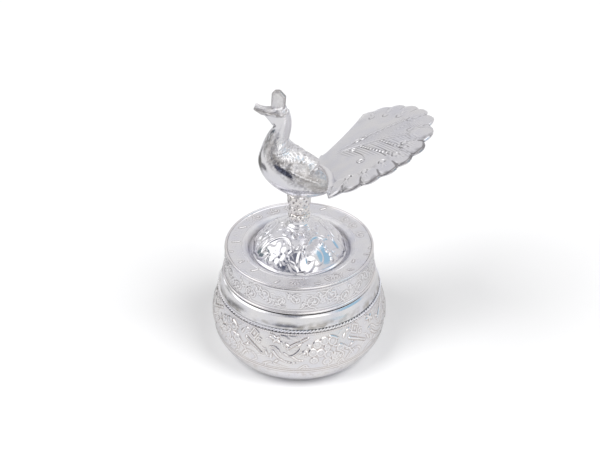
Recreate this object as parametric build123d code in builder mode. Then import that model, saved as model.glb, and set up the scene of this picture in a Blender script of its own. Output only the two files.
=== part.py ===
from build123d import *
from math import asin, cos, degrees, hypot, radians, sin, sqrt, tan
import os

os.makedirs("parts", exist_ok=True)

# Sindoor box of sheet silver, in millimetres. It stands on Z = 0 with its axis on Z,
# the peacock on the lid looks along -X and spreads its tail along +X.

# Fits: the hair of solder between fixed pieces, and the running fit of the lid
solder_gap = 0.03
lid_clearance = 0.3
lid_seat_gap = 0.3
lid_headroom = 0.6

# Bowl
belly_radius = 25.0
belly_height = 12.2
lower_curve_radius = 14.2
upper_curve_radius = 10.0
wall_lean = 15.6
bowl_wall = 0.9
seam_height = 1.5
mouth_rise = 8.0

# Base plate
foot_inset = 2.8
foot_curve_radius = 7.0
base_sheet = 0.9
floor_rim_width = 1.5

# Twisted wire and shoulder ring
rope_wire_radius = 0.5
shoulder_foot_height = 0.35
shoulder_height = 3.1
shoulder_lean = 0.9
shoulder_cove = 0.12
ledge_inset = 0.45
ledge_rise = 0.5
spigot_depth = 1.8
spigot_wall = 0.7

# Collar that the lid slips over
collar_wall = 0.8
collar_seat_depth = 3.6
collar_lip = 0.7
collar_chamfer = 0.25

# Lid
skirt_inset = 0.2
skirt_wall = 1.1
skirt_foot_height = 0.85
skirt_height = 7.8
skirt_taper = 0.35
bead_radius = 0.38
rim_wire_radius = 0.36
lid_face_rise = 0.62
lid_face_width = 4.33
lid_sheet = 0.8
lip_curve_radius = 1.5
well_depth = 2.42
well_floor_width = 1.8

# Dome
dome_gap = 0.8
dome_edge_height = 1.0
dome_rise = 9.8
dome_sheet = 0.7

# Finial stem, its collars, and the screw end with washer and nut inside the dome
stem_radius = 1.5
stem_foot_radius = 3.5
stem_foot_edge = 0.3
stem_waist_radius = 2.6
stem_foot_height = 1.5
lower_collar_radius = 3.1
lower_collar_height = 2.2
middle_collar_radius = 2.9
middle_collar_height = 2.5
upper_collar_radius = 3.3
upper_collar_height = 3.1
upper_collar_wrap = 1.6
collar_rounding = 0.35
stem_bite = 3.2
washer_radius = 3.4
washer_thickness = 0.5
nut_across_flats = 5.0
nut_thickness = 2.0
stem_end_length = 0.8

# Peacock, with heights from the lowest point of its belly. Points (x, z) on its back and
# on its belly and breast, from the rump to the beak, and half the width of the section
# between each pair, which is always a little less than half that section's depth
back_line = [
    (9.6, 6.5),
    (7.8, 8.7),
    (4.2, 11.2),
    (0.2, 13.0),
    (-2.2, 13.9),
    (-3.1, 14.9),
    (-3.3, 16.1),
    (-2.9, 17.9),
    (-2.5, 19.9),
    (-2.4, 21.9),
    (-2.6, 23.9),
    (-3.4, 25.7),
    (-5.4, 26.5),
    (-7.6, 26.0),
    (-9.4, 25.6),
    (-11.9, 26.2),
]
breast_line = [
    (9.4, 3.0),
    (7.1, 1.3),
    (3.6, 0.2),
    (-0.8, 0.0),
    (-6.0, 2.0),
    (-9.7, 5.3),
    (-11.25, 9.5),
    (-10.3, 13.9),
    (-8.7, 17.7),
    (-7.15, 20.3),
    (-7.6, 21.2),
    (-8.4, 22.2),
    (-9.1, 23.0),
    (-9.6, 23.4),
    (-10.3, 23.65),
    (-12.3, 24.9),
]
half_widths = [1.6, 3.6, 5.3, 6.3, 6.1, 5.6, 4.9, 3.8, 2.9, 2.3, 2.0, 1.9, 1.7, 1.3, 0.95, 0.6]
body_section_count = 31
crest_outline = [
    (-7.63, 25.3),
    (-7.32, 30.22),
    (-6.49, 31.24),
    (-5.15, 31.42),
    (-3.54, 29.71),
    (-3.83, 25.3),
]
crest_thickness = 1.2
crest_bevel = 0.25
eye_center = (-4.4, 1.35, 25.6)
eye_radius = 0.7

# Tail fan: a scalloped plate, arched from root to tip and bowed a little from side to side.
# Each valley, and then the corner, has an angle from the middle line and a small step
# out or in from the fan's radius
tail_thickness = 1.2
tail_root = (6.1, 11.85)
tail_root_slope = 35.8
tail_arch_radius = 80.4
tail_side_radius = 200.0
fan_center = (15.7, 17.4)
fan_slope = 22.5
fan_radius = 20.4
lobe_rise = 0.9
tip_lobe_rise = 0.6
stop_angles = [12.1, 30.7, 45.4, 60.0, 74.9, 90.2, 100.5]
stop_steps = [-0.7, -0.2, 0.0, 0.0, 0.1, 0.2, 1.2]
flank_waist = (-6.3, 11.9)
root_reach = 11.2
root_half_width = 3.6
root_length = 1.4
tongue_half_width = 2.4
tongue_length = 1.8


def wall_radius(height, depth):
    """Radius of the bowl's leaning wall at a height, at a depth under its outer face."""
    curve = upper_curve_radius - depth
    start_radius = belly_radius - upper_curve_radius + curve * cos(radians(wall_lean))
    start_height = belly_height + curve * sin(radians(wall_lean))
    return start_radius - (height - start_height) * tan(radians(wall_lean))


def seam_point(depth, turn):
    """Point on the seam of bowl and base plate, turned a little down the curve."""
    angle = radians(seam_angle + turn)
    curve = lower_curve_radius - depth
    center = belly_radius - lower_curve_radius
    return (center + curve * cos(angle), belly_height - curve * sin(angle))


def sphere_height(radius, distance):
    """Height of a sphere round the dome's centre, at a distance from the axis."""
    return dome_center + sqrt(radius**2 - distance**2)


# Derived sizes of the bowl, the wire and the shoulder, from the base up
mouth_height = belly_height + mouth_rise
seam_angle = degrees(asin((belly_height - seam_height) / lower_curve_radius))
seat_radius = wall_radius(mouth_height, bowl_wall + solder_gap)
rope_ring_radius = seat_radius + solder_gap + rope_wire_radius
rope_height = mouth_height + solder_gap + rope_wire_radius
band_bottom = rope_height + rope_wire_radius + solder_gap
band_foot = (rope_ring_radius, band_bottom + shoulder_foot_height)
band_edge = (band_foot[0] - shoulder_lean, band_foot[1] + shoulder_height)
ledge_radius = band_edge[0] - ledge_inset
ledge_height = band_edge[1] + ledge_rise

# Derived sizes of the lid, which sits on the ledge
skirt_foot_radius = ledge_radius - skirt_inset
skirt_inner_radius = skirt_foot_radius - skirt_wall
skirt_bottom = ledge_height + lid_seat_gap
skirt_top = skirt_bottom + skirt_height
lid_top_radius = skirt_inner_radius - solder_gap
lid_face_height = skirt_top + lid_face_rise
lid_under = lid_face_height - lid_sheet
lip_start_radius = lid_top_radius - lid_face_width
well_radius = lip_start_radius - lip_curve_radius
well_floor_height = lid_face_height - well_depth
collar_outer_radius = skirt_inner_radius - lid_clearance
collar_inner_radius = collar_outer_radius - collar_wall
collar_bottom = ledge_height - collar_seat_depth
collar_top = lid_under - lid_headroom

# Derived sizes of the dome and the finial on it
dome_base_radius = well_radius - dome_gap
dome_cap_rise = dome_rise - dome_edge_height
dome_radius = (dome_base_radius**2 + dome_cap_rise**2) / (2 * dome_cap_rise)
dome_top_height = well_floor_height + dome_rise
dome_center = dome_top_height - dome_radius
stem_bore = stem_radius + solder_gap
stem_foot_top = dome_top_height + stem_foot_height
lower_collar_bottom = stem_foot_top + solder_gap
middle_collar_bottom = lower_collar_bottom + lower_collar_height + solder_gap
upper_collar_bottom = middle_collar_bottom + middle_collar_height + solder_gap
perch_height = upper_collar_bottom + upper_collar_height
bird_plane = Plane(origin=(0, 0, perch_height), x_dir=(1, 0, 0), z_dir=(0, -1, 0))


# Bowl shell: outer and inner curves share their centres, so the sheet is even
with BuildPart() as bowl_shell:
    with BuildSketch(Plane.XZ):
        with BuildLine():
            lower_center = (belly_radius - lower_curve_radius, belly_height)
            upper_center = (belly_radius - upper_curve_radius, belly_height)
            outer_low = CenterArc(lower_center, lower_curve_radius, -seam_angle, seam_angle)
            outer_high = CenterArc(upper_center, upper_curve_radius, 0, wall_lean)
            outer_rim = Line(outer_high @ 1, (wall_radius(mouth_height, 0), mouth_height))
            inner_low = CenterArc(lower_center, lower_curve_radius - bowl_wall, -seam_angle, seam_angle)
            inner_high = CenterArc(upper_center, upper_curve_radius - bowl_wall, 0, wall_lean)
            inner_rim = Line(inner_high @ 1, (wall_radius(mouth_height, bowl_wall), mouth_height))
            Line(outer_rim @ 1, inner_rim @ 1)
            Line(outer_low @ 0, inner_low @ 0)
        make_face()
    revolve(axis=Axis.Z)
bowl_shell.part.label = "bowl_shell"
export_step(bowl_shell.part, "parts/bowl_shell.step")

# Base plate: a shallow saucer that closes the bowl and stands on its flat underside
with BuildPart() as base_plate:
    with BuildSketch(Plane.XZ):
        with BuildLine():
            seam_turn = degrees(solder_gap / lower_curve_radius)
            outer_seam = seam_point(0, seam_turn)
            inner_seam = seam_point(bowl_wall, seam_turn)
            foot_radius = outer_seam[0] - foot_inset
            RadiusArc((foot_radius, 0), outer_seam, -foot_curve_radius)
            Polyline(
                outer_seam,
                inner_seam,
                (inner_seam[0] - floor_rim_width, base_sheet),
                (0, base_sheet),
                (0, 0),
                (foot_radius, 0),
            )
        make_face()
    revolve(axis=Axis.Z)
base_plate.part.label = "base_plate"
export_step(base_plate.part, "parts/base_plate.step")

# Twisted wire: it lies on the bowl's edge, against the shoulder ring
with BuildPart() as rope_wire:
    with BuildSketch(Plane.XZ):
        with Locations((rope_ring_radius, rope_height)):
            Circle(rope_wire_radius)
    revolve(axis=Axis.Z)
rope_wire.part.label = "rope_wire"
export_step(rope_wire.part, "parts/rope_wire.step")

# Shoulder ring: a spigot in the bowl's mouth, a coved band above the wire,
# the ledge under the lid, and the seat of the collar
with BuildPart() as shoulder_ring:
    with BuildSketch(Plane.XZ):
        with BuildLine():
            spigot_bottom = mouth_height - spigot_depth
            spigot_radius = wall_radius(spigot_bottom, bowl_wall + solder_gap)
            band_middle = (
                (band_foot[0] + band_edge[0]) / 2 - shoulder_cove,
                (band_foot[1] + band_edge[1]) / 2,
            )
            ThreePointArc(band_foot, band_middle, band_edge)
            Polyline(
                band_edge,
                (ledge_radius, ledge_height),
                (collar_outer_radius + solder_gap, ledge_height),
                (collar_outer_radius + solder_gap, collar_bottom),
                (collar_inner_radius, collar_bottom),
                (collar_inner_radius, collar_bottom - collar_lip),
                (spigot_radius - spigot_wall, spigot_bottom),
                (spigot_radius, spigot_bottom),
                (seat_radius, mouth_height),
                (seat_radius, band_bottom),
                (band_foot[0], band_bottom),
                band_foot,
            )
        make_face()
    revolve(axis=Axis.Z)
shoulder_ring.part.label = "shoulder_ring"
export_step(shoulder_ring.part, "parts/shoulder_ring.step")

# Neck collar: a plain tube that stands on the shoulder ring's lip
with BuildPart() as neck_collar:
    with BuildSketch(Plane.XY.offset(collar_bottom + solder_gap)):
        Circle(collar_outer_radius)
        Circle(collar_inner_radius, mode=Mode.SUBTRACT)
    extrude(amount=collar_top - collar_bottom - solder_gap)
    chamfer(neck_collar.faces().sort_by(Axis.Z)[-1].edges(), collar_chamfer)
neck_collar.part.label = "neck_collar"
export_step(neck_collar.part, "parts/neck_collar.step")

# Lid skirt: an upright foot for the edge bead, then a wall that leans in to the rim
with BuildPart() as lid_skirt:
    with BuildSketch(Plane.XZ):
        with BuildLine():
            Polyline(
                (skirt_inner_radius, skirt_bottom),
                (skirt_foot_radius, skirt_bottom),
                (skirt_foot_radius, skirt_bottom + skirt_foot_height),
                (skirt_foot_radius - skirt_taper, skirt_top),
                (skirt_inner_radius, skirt_top),
                close=True,
            )
        make_face()
    revolve(axis=Axis.Z)
lid_skirt.part.label = "lid_skirt"
export_step(lid_skirt.part, "parts/lid_skirt.step")

# Edge bead: half-round wire round the skirt's foot
with BuildPart() as lid_edge_bead:
    with BuildSketch(Plane.XZ):
        with BuildLine():
            bead_center = (skirt_foot_radius + solder_gap, skirt_bottom + skirt_foot_height / 2)
            bead_curve = CenterArc(bead_center, bead_radius, -90, 180)
            Line(bead_curve @ 1, bead_curve @ 0)
        make_face()
    revolve(axis=Axis.Z)
lid_edge_bead.part.label = "lid_edge_bead"
export_step(lid_edge_bead.part, "parts/lid_edge_bead.step")

# Lid top: a flat ring that turns down over a round lip into the well of the dome
with BuildPart() as lid_top:
    with BuildSketch(Plane.XZ):
        with BuildLine():
            lip_center = (lip_start_radius, lid_face_height - lip_curve_radius)
            lip_outer = CenterArc(lip_center, lip_curve_radius, 90, 90)
            lip_inner = CenterArc(lip_center, lip_curve_radius - lid_sheet, 90, 90)
            Polyline(
                lip_outer @ 1,
                (well_radius, well_floor_height),
                (well_radius - well_floor_width, well_floor_height),
                (well_radius - well_floor_width, well_floor_height - lid_sheet),
                (well_radius + lid_sheet, well_floor_height - lid_sheet),
                lip_inner @ 1,
            )
            Polyline(
                lip_outer @ 0,
                (lid_top_radius, lid_face_height),
                (lid_top_radius, lid_under),
                lip_inner @ 0,
            )
        make_face()
    revolve(axis=Axis.Z)
lid_top.part.label = "lid_top"
export_step(lid_top.part, "parts/lid_top.step")

# Rim wire: it covers the joint of skirt and top
with BuildPart() as lid_rim_wire:
    with BuildSketch(Plane.XZ):
        rim_wire_ring = lid_top_radius + solder_gap + rim_wire_radius
        with Locations((rim_wire_ring, skirt_top + solder_gap + rim_wire_radius)):
            Circle(rim_wire_radius)
    revolve(axis=Axis.Z)
lid_rim_wire.part.label = "lid_rim_wire"
export_step(lid_rim_wire.part, "parts/lid_rim_wire.step")

# Dome: a thin cap with a short upright edge, standing in the well
with BuildPart() as lid_dome:
    with BuildSketch(Plane.XZ):
        with BuildLine():
            dome_bottom = well_floor_height + solder_gap
            inner_radius = dome_radius - dome_sheet
            inner_base = dome_base_radius - dome_sheet
            hole_top = (stem_bore, sphere_height(dome_radius, stem_bore))
            hole_bottom = (stem_bore, sphere_height(inner_radius, stem_bore))
            outer_edge = (dome_base_radius, sphere_height(dome_radius, dome_base_radius))
            inner_edge = (inner_base, sphere_height(inner_radius, inner_base))
            RadiusArc(hole_top, outer_edge, dome_radius)
            Polyline(
                outer_edge,
                (dome_base_radius, dome_bottom),
                (inner_base, dome_bottom),
                inner_edge,
            )
            RadiusArc(inner_edge, hole_bottom, -inner_radius)
            Line(hole_bottom, hole_top)
        make_face()
    revolve(axis=Axis.Z)
lid_dome.part.label = "lid_dome"
export_step(lid_dome.part, "parts/lid_dome.step")

# Stem foot: a flared ring whose underside follows the dome
with BuildPart() as stem_foot:
    with BuildSketch(Plane.XZ):
        with BuildLine():
            seat_sphere = dome_radius + solder_gap
            seat_inner = (stem_bore, sphere_height(seat_sphere, stem_bore))
            seat_outer = (stem_foot_radius, sphere_height(seat_sphere, stem_foot_radius))
            flare_start = (stem_foot_radius, seat_outer[1] + stem_foot_edge)
            flare_end = (stem_waist_radius, stem_foot_top)
            RadiusArc(seat_inner, seat_outer, seat_sphere)
            Line(seat_outer, flare_start)
            flare_curve = hypot(flare_start[0] - flare_end[0], flare_start[1] - flare_end[1])
            RadiusArc(flare_start, flare_end, flare_curve)
            Polyline(flare_end, (stem_bore, stem_foot_top), seat_inner)
        make_face()
    revolve(axis=Axis.Z)
stem_foot.part.label = "stem_foot"
export_step(stem_foot.part, "parts/stem_foot.step")


def stem_ring(radius, bottom, height):
    """Ring on the stem with rounded outer edges."""
    with BuildPart(mode=Mode.PRIVATE) as ring:
        with BuildSketch(Plane.XY.offset(bottom)):
            Circle(radius)
            Circle(stem_bore, mode=Mode.SUBTRACT)
        extrude(amount=height)
        outer_edges = ring.edges().filter_by(GeomType.CIRCLE).sort_by(SortBy.RADIUS)[-2:]
        fillet(outer_edges, collar_rounding)
    return ring.part


# Two lower stem collars, stacked on the foot
with BuildPart() as stem_collar_lower:
    add(stem_ring(lower_collar_radius, lower_collar_bottom, lower_collar_height))
stem_collar_lower.part.label = "stem_collar_lower"
export_step(stem_collar_lower.part, "parts/stem_collar_lower.step")

with BuildPart() as stem_collar_middle:
    add(stem_ring(middle_collar_radius, middle_collar_bottom, middle_collar_height))
stem_collar_middle.part.label = "stem_collar_middle"
export_step(stem_collar_middle.part, "parts/stem_collar_middle.step")


def body_rail(points):
    """Smooth rail through a line's points, at even steps of its parameter."""
    steps = [index / (len(points) - 1) for index in range(len(points))]
    return Edge.make_spline(points, parameters=steps)


def body_section(place):
    """Oval section between the back and breast rails, at a place from 0 to 1 along them."""
    back = back_rail.position_at(place, position_mode=PositionMode.PARAMETER)
    breast = breast_rail.position_at(place, position_mode=PositionMode.PARAMETER)
    half_width = width_rail.position_at(place, position_mode=PositionMode.PARAMETER).Y
    across = (back - breast).normalized()
    section_plane = Plane(
        origin=(back + breast) / 2,
        x_dir=(0, 1, 0),
        z_dir=(across.Z, 0, -across.X),
    )
    with BuildSketch(section_plane, mode=Mode.PRIVATE) as section:
        Ellipse(half_width, (back - breast).length / 2)
    return section.sketch


# Body, neck, head and beak in one smooth casting, before the bores are made
back_rail = body_rail([bird_plane.from_local_coords(point) for point in back_line])
breast_rail = body_rail([bird_plane.from_local_coords(point) for point in breast_line])
width_rail = body_rail([(index, half_width, 0) for index, half_width in enumerate(half_widths)])
with BuildPart() as bird_form:
    loft([body_section(index / (body_section_count - 1)) for index in range(body_section_count)])

# Upper stem collar: its top is cut to the belly, so that the bird sits in it
with BuildPart() as stem_collar_upper:
    with BuildSketch(Plane.XY.offset(upper_collar_bottom)):
        Circle(upper_collar_radius)
        Circle(stem_bore, mode=Mode.SUBTRACT)
    extrude(amount=upper_collar_height + upper_collar_wrap)
    add(bird_form.part, mode=Mode.SUBTRACT)
    lower_edges = stem_collar_upper.edges().filter_by(GeomType.CIRCLE).sort_by(Axis.Z)[:2]
    fillet(lower_edges.sort_by(SortBy.RADIUS)[-1], collar_rounding)
stem_collar_upper.part.label = "stem_collar_upper"
export_step(stem_collar_upper.part, "parts/stem_collar_upper.step")

# Washer and nut under the dome, and the stem rod that runs from them into the bird
washer_top = sphere_height(dome_radius - dome_sheet, washer_radius) - solder_gap
nut_top = washer_top - washer_thickness - solder_gap
stem_bottom = nut_top - nut_thickness - stem_end_length
stem_top = perch_height + stem_bite

with BuildPart() as finial_washer:
    with BuildSketch(Plane.XY.offset(washer_top - washer_thickness)):
        Circle(washer_radius)
        Circle(stem_bore, mode=Mode.SUBTRACT)
    extrude(amount=washer_thickness)
finial_washer.part.label = "finial_washer"
export_step(finial_washer.part, "parts/finial_washer.step")

with BuildPart() as finial_nut:
    with BuildSketch(Plane.XY.offset(nut_top - nut_thickness)):
        RegularPolygon(nut_across_flats / 2, 6, major_radius=False)
        Circle(stem_bore, mode=Mode.SUBTRACT)
    extrude(amount=nut_thickness)
finial_nut.part.label = "finial_nut"
export_step(finial_nut.part, "parts/finial_nut.step")

with BuildPart() as finial_stem:
    with BuildSketch(Plane.XY.offset(stem_bottom)):
        Circle(stem_radius)
    extrude(amount=stem_top - stem_bottom)
    chamfer(finial_stem.faces().sort_by(Axis.Z)[0].edges(), stem_end_length / 2)
finial_stem.part.label = "finial_stem"
export_step(finial_stem.part, "parts/finial_stem.step")


def fan_point(angle, radius):
    """Point of the fan's outline, by its angle from the tail's middle line."""
    return (radius * cos(radians(angle)), radius * sin(radians(angle)))


def fan_lobe(start, end, rise):
    """Round lobe of the outline between two stops, each an angle and a radius."""
    middle = (start[0] + end[0]) / 2
    ThreePointArc(fan_point(*start), fan_point(middle, fan_radius + rise), fan_point(*end))


def fan_outline():
    """Scalloped outline of the fan with its root and tongue, in the fan's own plane."""
    root_start = -root_reach - root_length
    tongue_end = root_start - tongue_length
    stops = [(angle, fan_radius + step) for angle, step in zip(stop_angles, stop_steps)]
    with BuildSketch(mode=Mode.PRIVATE) as outline:
        with BuildLine():
            fan_lobe((-stops[0][0], stops[0][1]), stops[0], tip_lobe_rise)
            for side in (1, -1):
                side_stops = [(side * angle, radius) for angle, radius in stops]
                for start, end in zip(side_stops, side_stops[1:]):
                    fan_lobe(start, end, lobe_rise)
                waist = (flank_waist[0], side * flank_waist[1])
                root = (-root_reach, side * root_half_width)
                ThreePointArc(fan_point(*side_stops[-1]), waist, root)
                Polyline(
                    root,
                    (root_start, side * root_half_width),
                    (root_start, side * tongue_half_width),
                    (tongue_end, side * tongue_half_width),
                )
            Line((tongue_end, tongue_half_width), (tongue_end, -tongue_half_width))
        make_face()
    return outline.sketch


def tail_form(growth):
    """The fan as a solid, grown on every side: an arched and bowed sheet cut to the outline."""
    slope = radians(tail_root_slope)
    reach = fan_radius + lobe_rise
    margin = reach / 2
    bow_depth = tail_side_radius - fan_center[1]
    bow_height = perch_height - bow_depth
    bow_angle = asin((reach + margin) / tail_side_radius)
    sheet_center = (
        tail_root[0] + tail_arch_radius * sin(slope),
        tail_root[1] - tail_arch_radius * cos(slope) + bow_depth,
    )
    bow_plane = Plane(
        origin=(0, 0, bow_height),
        x_dir=(1, 0, 0),
        z_dir=(0, -cos(bow_angle), -sin(bow_angle)),
    )
    bow_axis = Axis((0, 0, bow_height), (-1, 0, 0))
    outer_arch = tail_arch_radius + growth
    inner_arch = tail_arch_radius - tail_thickness - growth
    arch_start = 90 + tail_root_slope + degrees(margin / tail_arch_radius)
    arch_turn = degrees((root_reach + reach + 2 * margin) / tail_arch_radius)
    tilt = radians(fan_slope)
    fan_plane = Plane(
        origin=bird_plane.from_local_coords(fan_center),
        x_dir=(cos(tilt), 0, sin(tilt)),
        z_dir=(-sin(tilt), 0, cos(tilt)),
    )
    with BuildPart(mode=Mode.PRIVATE) as fan:
        with BuildSketch(bow_plane):
            with BuildLine():
                outer = CenterArc(sheet_center, outer_arch, arch_start, -arch_turn)
                inner = CenterArc(sheet_center, inner_arch, arch_start, -arch_turn)
                Line(outer @ 0, inner @ 0)
                Line(outer @ 1, inner @ 1)
            make_face()
        revolve(axis=bow_axis, revolution_arc=2 * degrees(bow_angle))
        with BuildSketch(fan_plane):
            add(fan_outline())
            if growth:
                offset(amount=growth, kind=Kind.INTERSECTION)
        extrude(amount=reach, both=True, mode=Mode.INTERSECT)
    return fan.part


# Peacock body: bored for the stem and slotted for the tongue of the tail
with BuildPart() as peacock_body:
    add(bird_form.part)
    with BuildSketch(Plane.XY):
        Circle(stem_bore)
    extrude(amount=stem_top + solder_gap, mode=Mode.SUBTRACT)
    add(tail_form(solder_gap), mode=Mode.SUBTRACT)
peacock_body.part.label = "peacock_body"
export_step(peacock_body.part, "parts/peacock_body.step")

# Tail fan
with BuildPart() as peacock_tail:
    add(tail_form(0))
peacock_tail.part.label = "peacock_tail"
export_step(peacock_tail.part, "parts/peacock_tail.step")

# Crest: a small bevelled plate, upright along the middle of the head and cut to its crown
with BuildPart() as peacock_crest:
    with BuildSketch(bird_plane):
        with BuildLine():
            Polyline(*crest_outline, close=True)
        make_face()
    extrude(amount=crest_thickness / 2, both=True)
    side_faces = peacock_crest.faces().sort_by(Axis.Y)
    chamfer(side_faces[0].edges() + side_faces[-1].edges(), crest_bevel)
    add(bird_form.part, mode=Mode.SUBTRACT)
peacock_crest.part.label = "peacock_crest"
export_step(peacock_crest.part, "parts/peacock_crest.step")

# Eyes: a grain of metal on each side of the head, seated on its curve
with BuildPart() as peacock_eyes:
    eye_height = perch_height + eye_center[2]
    with Locations((eye_center[0], eye_center[1], eye_height), (eye_center[0], -eye_center[1], eye_height)):
        Sphere(eye_radius)
    add(bird_form.part, mode=Mode.SUBTRACT)
peacock_eyes.part.label = "peacock_eyes"
export_step(peacock_eyes.part, "parts/peacock_eyes.step")
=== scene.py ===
import math

import bmesh
import bpy
import numpy as np
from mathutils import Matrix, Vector


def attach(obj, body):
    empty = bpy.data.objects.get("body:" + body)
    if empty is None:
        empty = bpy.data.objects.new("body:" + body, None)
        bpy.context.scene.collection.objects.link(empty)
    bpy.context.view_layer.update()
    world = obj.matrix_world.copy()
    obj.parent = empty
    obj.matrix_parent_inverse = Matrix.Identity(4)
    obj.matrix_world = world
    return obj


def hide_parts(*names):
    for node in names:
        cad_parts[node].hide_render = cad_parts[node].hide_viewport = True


# A silver sindoor box with a peacock on its lid. Every length is in millimetres, as a
# silversmith would give it, and turns into metres where a mesh is made. The box stands on
# the XY plane with its axis on Z. The peacock looks along -X, and azimuths turn from -Y,
# the front, towards +X, where its tail spreads.
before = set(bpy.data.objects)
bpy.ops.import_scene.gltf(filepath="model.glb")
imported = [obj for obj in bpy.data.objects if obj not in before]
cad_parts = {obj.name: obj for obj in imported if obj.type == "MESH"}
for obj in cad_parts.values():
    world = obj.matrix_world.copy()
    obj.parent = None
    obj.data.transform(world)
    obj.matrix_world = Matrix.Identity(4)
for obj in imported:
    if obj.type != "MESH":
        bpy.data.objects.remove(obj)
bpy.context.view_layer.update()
MM = 0.001


# The table: a sheet of matt white board, far larger than the box. The polished silver sees it greyer than
# the camera does. It also sees a blue cloth lying on it, and two dark patches of painted shadow on the table
# to the left of the box.
TABLE_HALF = 1500
BOARD_WHITE, BOARD_IN_SILVER = (0.86, 0.86, 0.865), (0.58, 0.58, 0.585)
CAMERA_GLOW, SILVER_GLOW = 0.06, 0.13
PATCH_INSIDE, PATCH_OUTSIDE = 0.75, 1.15


def feed(tree, node, inputs):
    """Set the inputs of a node, or join them to the outputs of other nodes."""
    for socket, source in inputs.items():
        if isinstance(source, bpy.types.NodeSocket):
            tree.links.new(source, node.inputs[socket])
        else:
            node.inputs[socket].default_value = source


def add_node(tree, kind, inputs, output=0, **settings):
    """Add a node with its settings and inputs, and hand back one of its outputs."""
    node = tree.nodes.new("ShaderNode" + kind)
    for name, choice in settings.items():
        setattr(node, name, choice)
    feed(tree, node, inputs)
    return node.outputs[output]


def blend(tree, factor, *colours):
    """Mix two colours, each given as numbers or as an output, by a factor from 0 to 1."""
    under, over = [(*colour, 1) if isinstance(colour, tuple) else colour for colour in colours]
    return add_node(tree, "Mix", {"Factor": factor, "A": under, "B": over}, "Result", data_type="RGBA")


def soft_step(tree, source, start, end):
    """Rise smoothly from 0 to 1 as the source goes from the start to the end."""
    limits = {"Value": source, "From Min": start, "From Max": end}
    return add_node(tree, "MapRange", limits, interpolation_type="SMOOTHSTEP")


table_mesh = bpy.data.meshes.new("table_top")
quarters = ((-1, -1), (1, -1), (1, 1), (-1, 1))
table_corners = [(x * TABLE_HALF * MM, y * TABLE_HALF * MM, 0) for x, y in quarters]
table_mesh.from_pydata(table_corners, [], [(0, 1, 2, 3)])
table_top = bpy.data.objects.new("table_top", table_mesh)
bpy.context.scene.collection.objects.link(table_top)

board = bpy.data.materials.new("white_board")
board.use_nodes = True
board_tree = board.node_tree
board_shader = board_tree.nodes["Principled BSDF"]
board_place = add_node(board_tree, "TexCoord", {}, "Object")
to_camera = add_node(board_tree, "LightPath", {}, "Is Camera Ray")
to_silver = add_node(board_tree, "LightPath", {}, "Is Glossy Ray")
silver_glow = add_node(board_tree, "Math", {0: to_silver, 1: SILVER_GLOW}, operation="MULTIPLY")
glow = {0: to_camera, 1: CAMERA_GLOW, 2: silver_glow}
feed(board_tree, board_shader, {
    "Roughness": 0.9, "Specular IOR Level": 0.1, "Emission Color": (1, 1, 1, 1),
    "Base Color": blend(board_tree, to_silver, BOARD_WHITE, BOARD_IN_SILVER),
    "Emission Strength": add_node(board_tree, "Math", glow, operation="MULTIPLY_ADD"),
})


def lay_cloth_and_shadow(under, azimuth, distance, length, width, colour):
    """Lay a coloured patch on the table that only the polished silver sees, as a socket."""
    turn = math.radians(azimuth)
    spot = add_node(board_tree, "Mapping", {
        "Vector": board_place, "Rotation": (0, 0, turn), "Scale": (width * MM / 2, length * MM / 2, 1),
        "Location": (distance * MM * math.sin(turn), -distance * MM * math.cos(turn), 0),
    }, vector_type="TEXTURE")
    reach = add_node(board_tree, "VectorMath", {0: spot}, "Value", operation="LENGTH")
    edge = soft_step(board_tree, reach, PATCH_OUTSIDE, PATCH_INSIDE)
    shown = add_node(board_tree, "Math", {0: edge, 1: to_silver}, operation="MULTIPLY")
    patch_shader = add_node(board_tree, "Emission", {"Color": (*colour, 1)})
    return add_node(board_tree, "MixShader", {0: shown, 1: under, 2: patch_shader})


laid = board_shader.outputs[0]
# A blue cloth, then two dark patches that are painted shadow on the table, seen only in the silver.
laid = lay_cloth_and_shadow(laid, 64, 196, 84, 84, (0.30, 0.54, 0.68))
laid = lay_cloth_and_shadow(laid, -110, 170, 200, 120, (0.19, 0.19, 0.185))
laid = lay_cloth_and_shadow(laid, -76, 122, 74, 90, (0.22, 0.22, 0.23))
feed(board_tree, board_tree.nodes["Material Output"], {"Surface": laid})
table_mesh.materials.append(board)


# The room: plain walls that light the box evenly and are white to the camera. The polished
# silver sees them pale grey, with soft round shapes: white, blue, grey and dark ones.
ROOM_GLOW, BACKDROP_WHITE = (0.19, 0.19, 0.191), (1, 1, 1)
LOW_WALL, HIGH_WALL = (0.72, 0.716, 0.725), (0.76, 0.757, 0.77)

room = bpy.data.worlds.new("pale_room")
bpy.context.scene.world = room
room.use_nodes = True
room_tree = room.node_tree
room_tree.nodes.clear()
room_place = add_node(room_tree, "TexCoord", {}, "Generated")


def facing(azimuth, elevation):
    """Unit vector from the box towards a place in the room, by compass and height."""
    turn, rise = math.radians(azimuth), math.radians(elevation)
    return Vector((math.sin(turn) * math.cos(rise), -math.cos(turn) * math.cos(rise), math.sin(rise)))


def room_shape(under, azimuth, elevation, size, softness, colour):
    """Paint one soft round shape of the room over what is under it, as a socket."""
    sight = {0: room_place, 1: facing(azimuth, elevation)}
    aim = add_node(room_tree, "VectorMath", sight, "Value", operation="DOT_PRODUCT")
    start, end = math.cos(math.radians(size + softness)), math.cos(math.radians(size))
    return blend(room_tree, soft_step(room_tree, aim, start, end), under, colour)


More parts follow.
